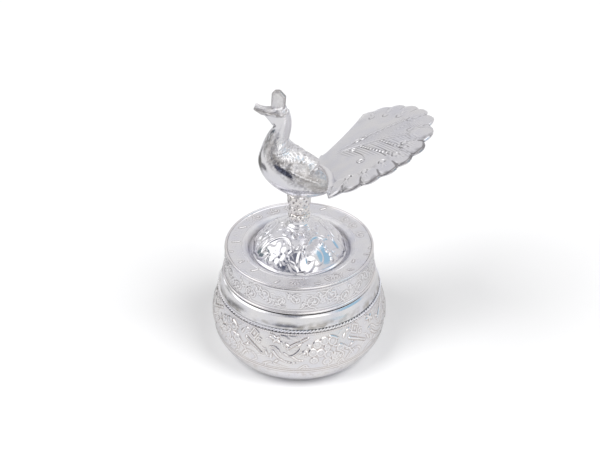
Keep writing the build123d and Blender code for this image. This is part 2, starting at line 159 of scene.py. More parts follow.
seen = blend(room_tree, add_node(room_tree, "SeparateXYZ", {0: room_place}, "Z"), LOW_WALL, HIGH_WALL)
for shape in (
    (-112, -4, 20, 16, (0.46, 0.46, 0.46)), (-72, 36, 23, 7, (1.5, 1.5, 1.5)),
    (36, 27, 19, 6, (1.5, 1.5, 1.5)), (104, 62, 18, 9, (1.4, 1.4, 1.4)),
    (92, 31, 15, 5, (0.36, 0.58, 0.74)), (-88, 3, 9, 7, (0.16, 0.20, 0.22)),
    (-114, 10, 5, 4, (1.4, 1.4, 1.38)), (2, 54, 9, 7, (0.17, 0.18, 0.23)),
    (-27, 24, 6, 6, (0.08, 0.09, 0.14)), (-3, 8, 11, 9, (0.12, 0.13, 0.18)),
):
    seen = room_shape(seen, *shape)
lit = blend(room_tree, add_node(room_tree, "LightPath", {}, "Is Glossy Ray"), ROOM_GLOW, seen)
walls = blend(room_tree, add_node(room_tree, "LightPath", {}, "Is Camera Ray"), lit, BACKDROP_WHITE)
room_light = add_node(room_tree, "Background", {"Color": walls})
feed(room_tree, room_tree.nodes.new("ShaderNodeOutputWorld"), {"Surface": room_light})


# The lamps: two wide soft lights, high on the left and on the right. The silver doesn't see
# them: it sees the white shapes of the room in their place.
LAMP_SPREAD, LAMP_STRENGTH, LAMP_ELEVATION = 34, 1.95, 52

for name, azimuth in (("left_key", -42), ("right_key", 70)):
    lamp = bpy.data.lights.new(name, "SUN")
    lamp.angle = math.radians(LAMP_SPREAD)
    lamp.energy = LAMP_STRENGTH
    stand = bpy.data.objects.new(name, lamp)
    bpy.context.scene.collection.objects.link(stand)
    stand.rotation_mode = "QUATERNION"
    stand.rotation_quaternion = (-facing(azimuth, LAMP_ELEVATION)).to_track_quat("-Z", "Y")
    stand.visible_glossy = False


# The camera: where the photograph was taken from, above the box and a little to the right
# of its front. Its lens and its aim are those that bring the rims of bowl and lid onto the
# photograph's.
VIEW_AZIMUTH, VIEW_ELEVATION = 14.0, 34.816
VIEW_DISTANCE, VIEW_HEIGHT = 400, 40.188
FOCAL_PIXELS, PHOTO_WIDTH, SHIFT_PIXELS = 1448.7, 600, 0.8

camera_data = bpy.data.cameras.new("camera")
camera_data.sensor_width = 36
camera_data.lens = FOCAL_PIXELS / PHOTO_WIDTH * camera_data.sensor_width
camera_data.shift_x = SHIFT_PIXELS / PHOTO_WIDTH
camera_data.clip_start, camera_data.clip_end = 0.01, 20
camera = bpy.data.objects.new("camera", camera_data)
bpy.context.scene.collection.objects.link(camera)
view_line = facing(VIEW_AZIMUTH, VIEW_ELEVATION)
camera.location = Vector((0, 0, VIEW_HEIGHT * MM)) + view_line * VIEW_DISTANCE * MM
camera.rotation_mode = "QUATERNION"
camera.rotation_quaternion = (-view_line).to_track_quat("-Z", "Y")
bpy.context.scene.camera = camera
bpy.context.scene.view_settings.view_transform = "Standard"


# The bowl: one sheet of silver raised over a stake, its wall chased with flowers, leaves
# and scrolls in five repeats between a border line below and the twisted wire above.
SOLDER_GAP = 0.03
BELLY_RADIUS, BELLY_HEIGHT, BOWL_SHEET = 25, 12.2, 0.9
LOWER_CURVE, UPPER_CURVE, WALL_LEAN = 14.2, 10, math.radians(15.6)
SEAM_HEIGHT, MOUTH_HEIGHT, BORDER_FOOT = 1.5, 20.2, 7.6
BOWL_REPEATS, BOWL_STEP, BOWL_RELIEF = 5, 0.4, 0.3
STAR_AZIMUTH, HALF_PANEL = -2, 36


def silver(name, colour, dark_tone, roughness, grain=0.3, grain_depth=0.02):
    """Silver whose hollows are tarnished and whose ridges are rubbed bright, with a fine grain. Painted
    shade takes the same dark tone as the tarnished hollows.
    """
    metal = bpy.data.materials.new(name)
    metal.use_nodes = True
    tree = metal.node_tree
    place = add_node(tree, "TexCoord", {}, "Object")
    wear_and_shade = add_node(tree, "Attribute", {}, "Fac", attribute_name="wear_and_shade")

    def noise(size, detail):
        """Cloudy pattern whose patches are about a size across."""
        cloud = {"Scale": 1 / (size * MM), "Detail": detail, "Vector": place}
        return add_node(tree, "TexNoise", cloud, "Fac")

    def span(source, *limits):
        """Stretch one range of a source to another, both given as low and high."""
        names = ("From Min", "From Max", "To Min", "To Max")
        return add_node(tree, "MapRange", {"Value": source, **dict(zip(names, limits))})

    # Below zero the attribute darkens the silver towards its dark tone: tarnish in hollows, and painted
    # shade where a piece sets it. Above zero the silver is rubbed bright.
    hollow, rubbed = span(wear_and_shade, -0.05, -0.9, 0, 1), span(wear_and_shade, 0.1, 0.8, 0, 1)
    cooler = tuple(part * (1 - fade) for part, fade in zip(colour, (0.08, 0.07, 0.02)))
    bright = tuple(min(1, part * 1.1) for part in colour)
    tint = blend(tree, span(noise(6, 3), 0.35, 0.65, 0, 1), colour, cooler)
    dull = span(noise(3, 2), 0.3, 0.7, roughness * 0.9, roughness * 1.15)
    polish = {0: rubbed, 1: -roughness * 0.45, 2: dull}
    feed(tree, tree.nodes["Principled BSDF"], {
        "Metallic": 1, "Base Color": blend(tree, hollow, blend(tree, rubbed, tint, bright), dark_tone),
        "Roughness": add_node(tree, "Math", polish, operation="MULTIPLY_ADD"),
        "Normal": add_node(tree, "Bump", {"Distance": grain_depth * MM, "Height": noise(grain, 4)}),
    })
    return metal


def wall_radius(height, depth):
    """Radius of the bowl's leaning wall at a height, at a depth under its outer face."""
    curve = UPPER_CURVE - depth
    start_radius = BELLY_RADIUS - UPPER_CURVE + curve * math.cos(WALL_LEAN)
    start_height = BELLY_HEIGHT + curve * math.sin(WALL_LEAN)
    return start_radius - (height - start_height) * math.tan(WALL_LEAN)


def bowl_face(depth):
    """Corners of the bowl's outline at a depth in the sheet, from the seam to the mouth and to
    the nearest micron. The two in the middle are those that the curves round off."""
    seam_turn = math.asin((BELLY_HEIGHT - SEAM_HEIGHT) / LOWER_CURVE)
    lower, upper = LOWER_CURVE - depth, UPPER_CURVE - depth
    seam_radius = BELLY_RADIUS - LOWER_CURVE + lower * math.cos(seam_turn)
    corners = (
        (seam_radius, BELLY_HEIGHT - lower * math.sin(seam_turn)),
        (BELLY_RADIUS - depth, BELLY_HEIGHT - lower * math.tan(seam_turn / 2)),
        (BELLY_RADIUS - depth, BELLY_HEIGHT + upper * math.tan(WALL_LEAN / 2)),
        (wall_radius(MOUTH_HEIGHT, depth), MOUTH_HEIGHT),
    )
    return [(round(radius, 3), round(height, 3)) for radius, height in corners]


def spun_outline(stops):
    """Points round the section of a turned piece. Each stop is a corner: radius, height, how
    far it is rounded, and the spacing of the points on it and on the side after it."""
    corners = np.array([stop[:2] for stop in stops], float)
    bends = []
    for here, before, after, stop in zip(corners, np.roll(corners, 1, 0), np.roll(corners, -1, 0), stops):
        arrive = (here - before) / np.linalg.norm(here - before)
        leave = (after - here) / np.linalg.norm(after - here)
        turn = math.atan2(arrive[0] * leave[1] - arrive[1] * leave[0], arrive @ leave)
        rounding, spacing = stop[2:]
        if not rounding:
            bends.append([here])
            continue
        start = here - arrive * rounding * math.tan(abs(turn) / 2)
        spoke = math.copysign(rounding, turn) * np.array([arrive[1], -arrive[0]])
        count = max(3, math.ceil(rounding * abs(turn) / spacing))
        steps = [turn * index / count for index in range(count + 1)]
        spin = [np.array([[math.cos(a), -math.sin(a)], [math.sin(a), math.cos(a)]]) for a in steps]
        bends.append([start - spoke + matrix @ spoke for matrix in spin])
    points = []
    for bend, following, stop in zip(bends, bends[1:] + bends[:1], stops):
        side = following[0] - bend[-1]
        count = max(1, math.ceil(np.linalg.norm(side) / stop[3]))
        points += bend
        points += [bend[-1] + side * index / count for index in range(1, count)]
    return np.array(points)


def skin(name, grid, wear_and_shade=None, open_up=False):
    """Mesh object over rows of points in millimetres. Each row closes on itself, and the rows
    close on each other too unless they are open."""
    rows, columns = grid.shape[:2]
    index = np.arange(rows * columns).reshape(rows, columns)
    lower = index[:-1] if open_up else index
    upper = index[1:] if open_up else np.roll(index, -1, 0)
    quads = np.stack([lower, np.roll(lower, -1, 1), np.roll(upper, -1, 1), upper], -1).reshape(-1, 4)
    mesh = bpy.data.meshes.new(name)
    mesh.vertices.add(rows * columns)
    mesh.vertices.foreach_set("co", (grid * MM).reshape(-1))
    mesh.loops.add(quads.size)
    mesh.loops.foreach_set("vertex_index", quads.reshape(-1))
    mesh.polygons.add(len(quads))
    mesh.polygons.foreach_set("loop_start", np.arange(0, quads.size, 4))
    mesh.polygons.foreach_set("use_smooth", np.ones(len(quads), bool))
    mesh.update(calc_edges=True)
    mesh.set_sharp_from_angle(angle=math.radians(50))
    if wear_and_shade is not None:
        mesh.attributes.new("wear_and_shade", "FLOAT", "POINT").data.foreach_set("value", wear_and_shade.reshape(-1))
    piece = bpy.data.objects.new(name, mesh)
    bpy.context.scene.collection.objects.link(piece)
    return piece


def spin_round(section, azimuths, sink=0):
    """Grid of points of a section turned through azimuths, sunk under its surface in places."""
    tangent = np.roll(section, -1, 0) - np.roll(section, 1, 0)
    tangent /= np.linalg.norm(tangent, axis=1)[:, None]
    turn = np.radians(azimuths)[None, :]
    radius = section[:, :1] - tangent[:, 1:] * sink + 0 * turn
    height = section[:, 1:] + tangent[:, :1] * sink + 0 * turn
    return np.stack([radius * np.sin(turn), -radius * np.cos(turn), height], -1)


def smooth_line(points, pieces=6):
    """Points along a smooth curve through a few points."""
    points = np.array(points, float)
    if len(points) < 3:
        return points
    ends = np.vstack([2 * points[0] - points[1], points, 2 * points[-1] - points[-2]])
    steps = np.linspace(0, 1, pieces, endpoint=False)[:, None]
    curve = []
    for a, b, c, d in zip(ends, ends[1:], ends[2:], ends[3:]):
        curve.append(((2 * b) + (c - a) * steps + (2 * a - 5 * b + 4 * c - d) * steps**2
                      + (3 * b - a - 3 * c + d) * steps**3) / 2)
    return np.vstack(curve + [points[-1:]])


class Chasing:
    """Relief in a stretch of silver: x and y are distances on it, height is how far it stands."""

    def __init__(self, x, y, period=None):
        self.x, self.y, self.period = x, y, period
        self.height = np.zeros(np.shape(x))

    def away(self, spot, near=...):
        """How far each place lies from a spot, across and up, the short way round."""
        across = self.x[near] - spot[0]
        if self.period:
            across = (across + self.period / 2) % self.period - self.period / 2
        return across, self.y[near] - spot[1]

    def around(self, points, margin):
        """The places close enough to some points for a tool to touch them."""
        points = np.atleast_2d(points)
        middle = (points.min(0) + points.max(0)) / 2
        half = (points.max(0) - points.min(0)) / 2 + margin
        across, up = self.away(middle)
        return np.nonzero((np.abs(across) < half[0]) & (np.abs(up) < half[1]))

    def turned(self, spot, angle, near=...):
        """How far each place lies from a spot, along an angle and square to it."""
        across, up = self.away(spot, near)
        cosine, sine = math.cos(math.radians(angle)), math.sin(math.radians(angle))
        return across * cosine + up * sine, up * cosine - across * sine

    def line(self, points, width, end_width=None):
        """How much of a smooth line of the chisel covers each place near it, from 0 to 1."""
        points = smooth_line(points)
        end_width = width if end_width is None else end_width
        near = self.around(points, max(width, end_width) / 2)
        cover = np.zeros(len(near[0]))
        for start, end, wide in zip(points, points[1:], np.linspace(width, end_width, len(points) - 1)):
            across, up = self.away(start, near)
            run, climb = end - start
            along = np.clip((across * run + up * climb) / (run**2 + climb**2), 0, 1)
            off = np.hypot(across - along * run, up - along * climb)
            np.maximum(cover, 1 - (2 * off / wide) ** 2, out=cover)
        return near, cover

    def lift(self, near, cover, height):
        """Raise the covered places to a round-backed form of some height."""
        self.height[near] = np.maximum(self.height[near], height * np.sqrt(np.clip(cover, 0, 1)))

    def ridge(self, points, width, height=0.2, end_width=None):
        """Raised line along a smooth curve."""
        self.lift(*self.line(points, width, end_width), height)

    def groove(self, points, width, depth=0.1, end_width=None):
        """Line cut in along a smooth curve."""
        near, cover = self.line(points, width, end_width)
        self.height[near] -= depth * cover

    def boss(self, spot, length, width, angle=0, height=0.2):
        """Round or oval knob."""
        near = self.around(spot, max(length, width) / 2)
        along, aside = self.turned(spot, angle, near)
        self.lift(near, 1 - (2 * along / length) ** 2 - (2 * aside / width) ** 2, height)

    def ring(self, spot, radius, width, height=0.2):
        """Raised circle."""
        near = self.around(spot, radius + width)
        across, up = self.away(spot, near)
        self.lift(near, 1 - ((np.hypot(across, up) - radius) * 2 / width) ** 2, height)

    def petal(self, spot, length, width, angle, height=0.2, vein=0.08):
        """Pointed leaf or petal with its root at the spot and a groove down its middle."""
        near = self.around(spot, length)
        along, aside = self.turned(spot, angle, near)
        place = along / length
        half = width / 2 * np.sqrt(np.clip(4 * place * (1 - place), 0, 1)) * (1.15 - 0.5 * place) + 1e-6
        within = (place > 0) & (place < 1)
        self.lift(near, np.where(within, 1 - (aside / half) ** 2, 0), height)
        cut = np.exp(-((aside / 0.09) ** 2)) * np.clip(1 - np.abs(2 * place - 1), 0, 1)
        self.height[near] -= np.where(within, vein * cut, 0)

    def scroll(self, spot, radius, start, turns, width=0.3, height=0.2):
        """Line that curls in to a small knob at the spot."""
        steps = np.linspace(0, 1, max(4, int(abs(turns) * 7)))
        angles = np.radians(start) + steps * turns * 2 * math.pi
        reach = radius * (1 - 0.72 * steps)
        curl = np.stack([spot[0] + reach * np.cos(angles), spot[1] + reach * np.sin(angles)], 1)
        self.ridge(curl, width, height)
        self.boss(spot, radius * 0.5, radius * 0.5, 0, height)

    def stroke(self, spot, length, angle, bend=0, width=0.3, height=0.2, end_width=None):
        """Line that leaves the spot at an angle and bends evenly as it goes."""
        aims = np.radians(angle + bend * np.array([0.125, 0.375, 0.625, 0.875]))
        steps = np.stack([np.cos(aims), np.sin(aims)], 1) * length / 4
        self.ridge(np.vstack([[spot], spot + np.cumsum(steps, 0)]), width, height, end_width)

    def border(self, level, width, height):
        """Raised line straight across at one level."""
        near = np.nonzero(np.abs(self.y - level) < width)
        self.lift(near, 1 - ((self.y[near] - level) * 2 / width) ** 2, height)

    def strew(self, chance, count, place, across, up, lengths, bend, heights, width=0.3):
        """Faint curved strokes at random places and angles, each drawn between two limits."""
        for _ in range(count):
            spot = place(chance.uniform(*across), chance.uniform(*up))
            length, angle = chance.uniform(*lengths), chance.uniform(0, 360)
            turn, height = chance.uniform(-bend, bend), chance.uniform(*heights)
            self.stroke(spot, length, angle, turn, width, height, 0.12)


def soften(height, passes=2, wraps=True):
    """Round off the relief as rubbing does: each place moves towards the mean of those next to it."""
    for _ in range(passes):
        padded = np.pad(height, ((1, 1), (1, 1)), mode="edge")
        if wraps:
            padded[:, 0], padded[:, -1] = padded[:, -2], padded[:, 1]
        beside = padded[:-2, 1:-1] + padded[2:, 1:-1] + padded[1:-1, :-2] + padded[1:-1, 2:]
        height = (2 * height + beside) / 6
    return height


def wear(height, depth=0.035):
    """How far each place stands over those round it, from -1 in a hollow to 1 on a ridge."""
    return np.clip((height - soften(height, 4)) / depth, -1, 1)


def on_rows(section, rows, values):
    """Values for some rows of a section, with zeros on its other rows."""
    grid = np.zeros((len(section), values.shape[1]))
    grid[rows] = values
    return grid


def fit(piece, metal, body, slot, *nodes):
    """Give a piece its metal and put it in place of the solids that it stands for."""
    piece.data.materials.append(metal)
    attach(piece, body)
    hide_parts(*nodes)


outer, inner = bowl_face(0), bowl_face(BOWL_SHEET)
bowl_section = spun_outline([
    (*outer[0], 0, 0.17), (*outer[1], LOWER_CURVE, 0.17), (*outer[2], UPPER_CURVE, 0.17),
    (*outer[3], 0.12, 0.4), (*inner[3], 0.12, 1.2), (*inner[2], UPPER_CURVE - BOWL_SHEET, 1.2),
    (*inner[1], LOWER_CURVE - BOWL_SHEET, 1.2), (*inner[0], 0.1, 0.5),
])
bowl_climb = np.concatenate([[0], np.cumsum(np.linalg.norm(np.diff(bowl_section, axis=0), axis=1))])
bowl_wall = slice(np.argmax(bowl_section[:, 1]) + 1)
panel_azimuths = np.arange(-HALF_PANEL, HALF_PANEL, BOWL_STEP)
bowl_scale = BELLY_RADIUS * math.pi / 180
bowl_x, bowl_y = np.meshgrid(panel_azimuths * bowl_scale, bowl_climb[bowl_wall])
bowl_panel = Chasing(bowl_x, bowl_y, period=2 * HALF_PANEL * bowl_scale)


def on_bowl(azimuth, height):
    """Place on the bowl's panel, by azimuth from the star's axis and height over the table."""
    climb = np.interp(height, bowl_section[bowl_wall, 1], bowl_climb[bowl_wall])
    return azimuth * bowl_scale, climb


hand = np.random.default_rng(11)
bowl_panel.strew(hand, 80, on_bowl, (-HALF_PANEL, HALF_PANEL), (8.8, 19.6), (0.6, 2.4), 130, (0.05, 0.13))

star = on_bowl(0.5, 18.2)
for angle, length in ((40, 1.2), (140, 1.9), (170, 2.1), (235, 1.3), (320, 1.6)):
    bowl_panel.petal(star, length, 0.75, angle, 0.3)
bowl_panel.boss(star, 0.6, 0.5, 0, 0.3)

blade_ends = (((-21, 16.3), (-8.5, 13.2)), ((8.5, 15.9), (22, 18.9)), ((-35, 18.6), (-29.5, 17.4)))
for (x0, z0), (x1, z1) in blade_ends:
    blade = [on_bowl(x0, z0), on_bowl((x0 + x1) / 2, (z0 + z1) / 2 + 0.15), on_bowl(x1, z1)]
    bowl_panel.ridge(blade, 0.6, 0.3, 0.42)
    bowl_panel.groove([(x, y - 0.42) for x, y in blade], 0.34, 0.16)

lozenge_corners = ((-3.1, -0.5), (-0.6, 1.4), (3.1, 0.5), (0.6, -1.4), (-3.1, -0.5))
lozenge = [on_bowl(-15.5 + across, 18.2 + up) for across, up in lozenge_corners]
for corner, following in zip(lozenge, lozenge[1:]):
    bowl_panel.ridge([corner, following], 0.26, 0.24)
bowl_panel.boss(on_bowl(-15.5, 18.2), 0.9, 0.6, 70, 0.12)

for tooth in range(17):
    bowl_panel.ridge([on_bowl(3.6 + 0.84 * tooth, 19.5), on_bowl(3.4 + 0.84 * tooth, 18.2)], 0.17, 0.17)

berries = (
    (25, 14.6, 1.15, 160), (28, 16.8, 1.1, 130), (33, 17.5, 1.1, 95), (38.7, 17.1, 1.05, 60),
    (43.6, 14.5, 1.15, 15), (35, 13.4, 1.0, 270), (30, 14.2, 0.95, 200), (40, 12.3, 1.1, 320),
    (25.5, 12.0, 0.95, 220), (34.2, 10.9, 1.0, 270), (34.5, 15.5, 0.85, 0),
)
for azimuth, height, size, angle in berries:
    berry = on_bowl(azimuth, height)
    bowl_panel.boss(berry, size * 2.2, size * 1.8, angle, 0.15)
    bowl_panel.ring(berry, size * hand.uniform(0.85, 1.1), 0.34, 0.2)
    bowl_panel.stroke(berry, 0.7, angle + hand.uniform(-40, 40), 60, 0.24, 0.24, 0.14)

stems = (
    (0.5, ((-1.5, 14.6), (2.0, 13.0), (5.5, 12.0), (10, 11.4), (15.5, 11.6))),
    (0.36, ((11.5, 13.5), (15, 12.4), (19, 12.1))),
    (0.3, ((-3.5, 15.6), (-0.5, 15.9), (2.4, 15.1), (4.2, 13.9))),
    (0.28, ((6.0, 14.4), (9.5, 13.6), (13.5, 14.3), (17, 15.9))),
    (0.34, ((-24, 9.8), (-20, 12.2), (-15, 12.4), (-12.6, 10.6), (-15.6, 9.4))),
    (0.32, ((-33, 15.6), (-27, 15.0), (-22, 13.2), (-19, 11.0))),
    (0.3, ((-8, 9.3), (-3, 10.6), (3, 9.9), (9, 9.2))),
    (0.28, ((16, 9.0), (20, 10.4), (21.5, 9.2))),
    (0.28, ((-30, 9.4), (-27.4, 10.6), (-26, 9.2))),
)
for width, path in stems:
    bowl_panel.ridge([on_bowl(azimuth, height) for azimuth, height in path], width, 0.24, 0.16)

bowl_panel.scroll(on_bowl(-28.5, 12.0), 1.5, 200, -1.0, 0.3, 0.22)
bowl_panel.scroll(on_bowl(-11.5, 16.6), 1.0, 40, 1.0, 0.26, 0.2)
bowl_panel.scroll(on_bowl(19.5, 14.6), 1.1, 250, 0.9, 0.28, 0.2)

leaves = (
    (-5, 13.0, 110, 1.7), (-2.6, 12.2, 80, 1.7), (0.4, 11.0, 50, 1.5), (-25.5, 17.0, 60, 1.5),
    (-22.5, 18.6, 20, 1.4), (-29, 14.0, 30, 1.9), (-24.5, 13.6, 350, 1.7), (-18, 14.6, 200, 1.4),
    (6.5, 17.2, 330, 1.5), (13.8, 16.6, 20, 1.6), (22, 16.9, 300, 1.5), (-33, 12.2, 80, 1.6),
)
for azimuth, height, angle, length in leaves:
    bowl_panel.petal(on_bowl(azimuth, height), length, 0.62, angle, 0.24)

for height, width in ((8.5, 0.3), (7.9, 0.2)):
    bowl_panel.border(on_bowl(0, height)[1], width, 0.2)
MOUTH_BEADS = 48
for bead in range(MOUTH_BEADS):
    azimuth = -HALF_PANEL + bead * 2 * HALF_PANEL / MOUTH_BEADS
    bowl_panel.boss(on_bowl(azimuth, MOUTH_HEIGHT - 0.2), 0.42, 0.42, 0, 0.18)

bowl_panel.height = soften(bowl_panel.height, 1)
chased = np.clip((bowl_panel.y - on_bowl(0, BORDER_FOOT)[1]) / 0.6, 0, 1)
chased *= np.clip((on_bowl(0, MOUTH_HEIGHT)[1] - bowl_panel.y) / 0.3, 0, 1)
bowl_sink = on_rows(bowl_section, bowl_wall, (BOWL_RELIEF - bowl_panel.height) * chased)
foot_cloud = soften(hand.normal(size=bowl_panel.height.shape), 8)
foot_band = np.exp(-(((bowl_section[bowl_wall, 1:] - 6.4) / 1.2) ** 2))
foot_tarnish = foot_band * np.clip(0.05 + 1.8 * foot_cloud, 0, 0.5)
bowl_worn = on_rows(bowl_section, bowl_wall, wear(bowl_panel.height) - foot_tarnish)
bowl_azimuths = STAR_AZIMUTH - HALF_PANEL + BOWL_STEP * np.arange(BOWL_REPEATS * len(panel_azimuths))
turned_bowl = spin_round(bowl_section, bowl_azimuths, np.tile(bowl_sink, BOWL_REPEATS))
bowl = skin("chased_bowl", turned_bowl, np.tile(bowl_worn, BOWL_REPEATS))
chased_silver = silver("chased_silver", (0.892, 0.874, 0.868), (0.58, 0.52, 0.49), 0.23, 0.3, 0.008)
fit(bowl, chased_silver, "box", "bowl", "bowl_shell")


# The base plate: a shallow saucer of thicker sheet, soldered into the bowl's seam. It is
# plain, and shows as its solid. So do the neck collar, and the stem with its washer and nut.
plain_silver = silver("plain_silver", (0.86, 0.84, 0.86), (0.34, 0.31, 0.31), 0.24, 0.5, 0.01)
for plain_node in ("base_plate", "neck_collar", "finial_washer", "finial_nut", "finial_stem"):
    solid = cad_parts[plain_node]
    solid.data.materials.clear()
    solid.data.materials.append(plain_silver)


# The twisted wire: two strands of round wire twisted together and soldered round the
# bowl's mouth, against the foot of the shoulder.
STRAND_RADIUS, ROPE_TURNS, STRAND_SIDES = 0.25, 71, 10
SEAT_RADIUS = wall_radius(MOUTH_HEIGHT, BOWL_SHEET + SOLDER_GAP)
ROPE_RING_RADIUS = SEAT_RADIUS + SOLDER_GAP + 2 * STRAND_RADIUS
ROPE_HEIGHT = MOUTH_HEIGHT + SOLDER_GAP + 2 * STRAND_RADIUS


def ring_wire(name, ring_radius, height, wire_radius, steps, sides, twist=0, offset=0.0, phase=0.0):
    """Round wire bent to a ring, which may wind round the ring's line as a strand does."""
    azimuth = np.linspace(0, 2 * math.pi, steps, endpoint=False)
    wind = azimuth * twist + phase
    middle = np.stack([ring_radius + offset * np.cos(wind), height + offset * np.sin(wind)], 1)
    side = np.linspace(0, 2 * math.pi, sides, endpoint=False)
    radius = middle[:, None, 0] + wire_radius * np.cos(side)
    up = middle[:, None, 1] - wire_radius * np.sin(side)
    turn = azimuth[:, None]
    return skin(name, np.stack([radius * np.sin(turn), -radius * np.cos(turn), up], -1))


wire_silver = silver("wire_silver", (0.865, 0.838, 0.828), (0.28, 0.25, 0.24), 0.16, 0.3, 0.005)
# The rope's silver is paler than the other wire's: painted light, lifting the shade of the groove the rope
# lies in.
rope_silver = silver("rope_silver", (0.95, 0.935, 0.93), (0.36, 0.33, 0.32), 0.32, 0.3, 0.005)
for number in (0, 1):
    wound = (12 * ROPE_TURNS, STRAND_SIDES, ROPE_TURNS, STRAND_RADIUS, number * math.pi)
    strand = ring_wire(f"rope_strand_{number + 1}", ROPE_RING_RADIUS, ROPE_HEIGHT, STRAND_RADIUS, *wound)
    fit(strand, rope_silver, "box", "rope_wire", "rope_wire")


# The shoulder ring: turned from a heavy strip and burnished to a mirror. Its spigot sits
# in the bowl's mouth, and its ledge carries the lid.
BAND_BOTTOM, BAND_FOOT, BAND_RISE, BAND_LEAN = ROPE_HEIGHT + 2 * STRAND_RADIUS + SOLDER_GAP, 0.35, 3.1, 0.9
COVE_IN, COVE_DOWN = 0.12, 0.035
LEDGE_RADIUS = ROPE_RING_RADIUS - BAND_LEAN - 0.45
LEDGE_HEIGHT = BAND_BOTTOM + BAND_FOOT + BAND_RISE + 0.5
COLLAR_RADIUS, COLLAR_WALL, COLLAR_SEAT = LEDGE_RADIUS - 1.6, 0.8, LEDGE_HEIGHT - 3.6
SPIGOT_BOTTOM, SPIGOT_WALL = MOUTH_HEIGHT - 1.8, 0.7

cove = []
for step in np.linspace(0, 1, 14)[1:-1]:
    hollow = 4 * step * (1 - step)
    cove_radius = ROPE_RING_RADIUS - BAND_LEAN * step - COVE_IN * hollow
    cove.append((cove_radius, BAND_BOTTOM + BAND_FOOT + BAND_RISE * step - COVE_DOWN * hollow, 0, 1))
spigot_radius = wall_radius(SPIGOT_BOTTOM, BOWL_SHEET + SOLDER_GAP)
collar_inner = COLLAR_RADIUS - COLLAR_WALL
shoulder_section = spun_outline([
    (SEAT_RADIUS, BAND_BOTTOM, 0.08, 1), (ROPE_RING_RADIUS, BAND_BOTTOM, 0.12, 1), *cove,
    (ROPE_RING_RADIUS - BAND_LEAN, BAND_BOTTOM + BAND_FOOT + BAND_RISE, 0.1, 0.3),
    (LEDGE_RADIUS, LEDGE_HEIGHT, 0.1, 0.4), (COLLAR_RADIUS + SOLDER_GAP, LEDGE_HEIGHT, 0, 1),
    (COLLAR_RADIUS + SOLDER_GAP, COLLAR_SEAT, 0, 1), (collar_inner, COLLAR_SEAT, 0, 1),
    (collar_inner, COLLAR_SEAT - 0.7, 0.1, 0.6), (spigot_radius - SPIGOT_WALL, SPIGOT_BOTTOM, 0.1, 0.6),
    (spigot_radius, SPIGOT_BOTTOM, 0.1, 0.6), (SEAT_RADIUS, MOUTH_HEIGHT, 0, 0.6),
])
mirror_silver = silver("mirror_silver", (0.89, 0.878, 0.878), (0.52, 0.50, 0.48), 0.19, 0.5, 0.012)
shoulder_grid = spin_round(shoulder_section, np.arange(0, 360, 1.0))
# The lower half of the band is painted darker in mottled patches: painted shade for the darker bowl and
# table that the mirror face looks down on.
shade_mottle = soften(np.random.default_rng(2).normal(size=shoulder_grid.shape[:2]), 6)
shaded_low_half = np.clip((23.6 - shoulder_section[:, 1]) / 1.4, 0, 1)[:, None]
shoulder = skin("shoulder_band", shoulder_grid, -shaded_low_half * np.clip(0.3 + 2.2 * shade_mottle, 0, 1))
fit(shoulder, mirror_silver, "box", "shoulder", "shoulder_ring")


# The lid's skirt: a strip of sheet bent to a ring, its wall engraved with a running wave of
# scrolls, leaves and small flowers between two fine lines, cut in by eye.
SKIRT_REPEATS, SKIRT_STEP, SKIRT_RELIEF = 4, 0.375, 0.18
SKIRT_INNER, SKIRT_RADIUS, SKIRT_TAPER = COLLAR_RADIUS + 0.3, LEDGE_RADIUS - 0.2, 0.35
SKIRT_BOTTOM, SKIRT_HEIGHT, SKIRT_FOOT = LEDGE_HEIGHT + 0.3, 7.8, 0.85
SKIRT_TOP = SKIRT_BOTTOM + SKIRT_HEIGHT
SKIRT_START = VIEW_AZIMUTH - 46


def beside(spot, angle, distance):
    """Place at a distance from a spot, in the direction of an angle."""
    turn = math.radians(angle)
    return spot[0] + distance * math.cos(turn), spot[1] + distance * math.sin(turn)


skirt_section = spun_outline([
    (SKIRT_RADIUS, SKIRT_BOTTOM, 0.08, 0.2), (SKIRT_RADIUS, SKIRT_BOTTOM + SKIRT_FOOT, 0, 0.16),
    (SKIRT_RADIUS - SKIRT_TAPER, SKIRT_TOP, 0.08, 0.3), (SKIRT_INNER, SKIRT_TOP, 0.08, 2),
    (SKIRT_INNER, SKIRT_BOTTOM, 0.08, 0.5),
])
skirt_wall = slice(np.argmax(skirt_section[:, 1]) + 1)
skirt_azimuths = np.arange(0, 360 / SKIRT_REPEATS, SKIRT_STEP)
skirt_scale = 21 * math.pi / 180
skirt_width = 360 / SKIRT_REPEATS * skirt_scale
skirt_climb = skirt_section[skirt_wall, 1] - SKIRT_BOTTOM - SKIRT_FOOT
skirt_x, skirt_y = np.meshgrid(skirt_azimuths * skirt_scale, skirt_climb)
skirt_panel = Chasing(skirt_x, skirt_y, period=skirt_width)
graver = np.random.default_rng(23)
skirt_spots = (0, skirt_width), (0.9, 6.1)
skirt_panel.strew(graver, 60, lambda x, y: (x, y), *skirt_spots, (0.6, 1.8), 140, (0.05, 0.11))
for turn in range(7):
    x, y = 2.4 + 4.7 * turn + graver.uniform(-0.6, 0.6), 3.4 + graver.uniform(-0.6, 0.6)
    side = 1 if turn % 2 else -1
    radius, start = 1.9 + graver.uniform(-0.4, 0.4), side * 90 + graver.uniform(-50, 50)
    skirt_panel.scroll((x, y + side * 0.7), radius, start, side * graver.uniform(0.8, 1.3), 0.3, 0.16)
    skirt_panel.stroke((x - 2.4, y + side * 2.3), 4.2, -side * 10, -side * 80, 0.34, 0.18, 0.12)
    skirt_panel.stroke((x + 1.0, y - side * 2.3), 3.2, side * 25, side * 90, 0.3, 0.16, 0.1)
    for leaf in range(2):
        angle = -side * (20 + 60 * leaf)
        skirt_panel.petal((x + 1.5, y - side * 0.5), graver.uniform(1.2, 2.0), 0.6, angle, 0.16, 0.05)
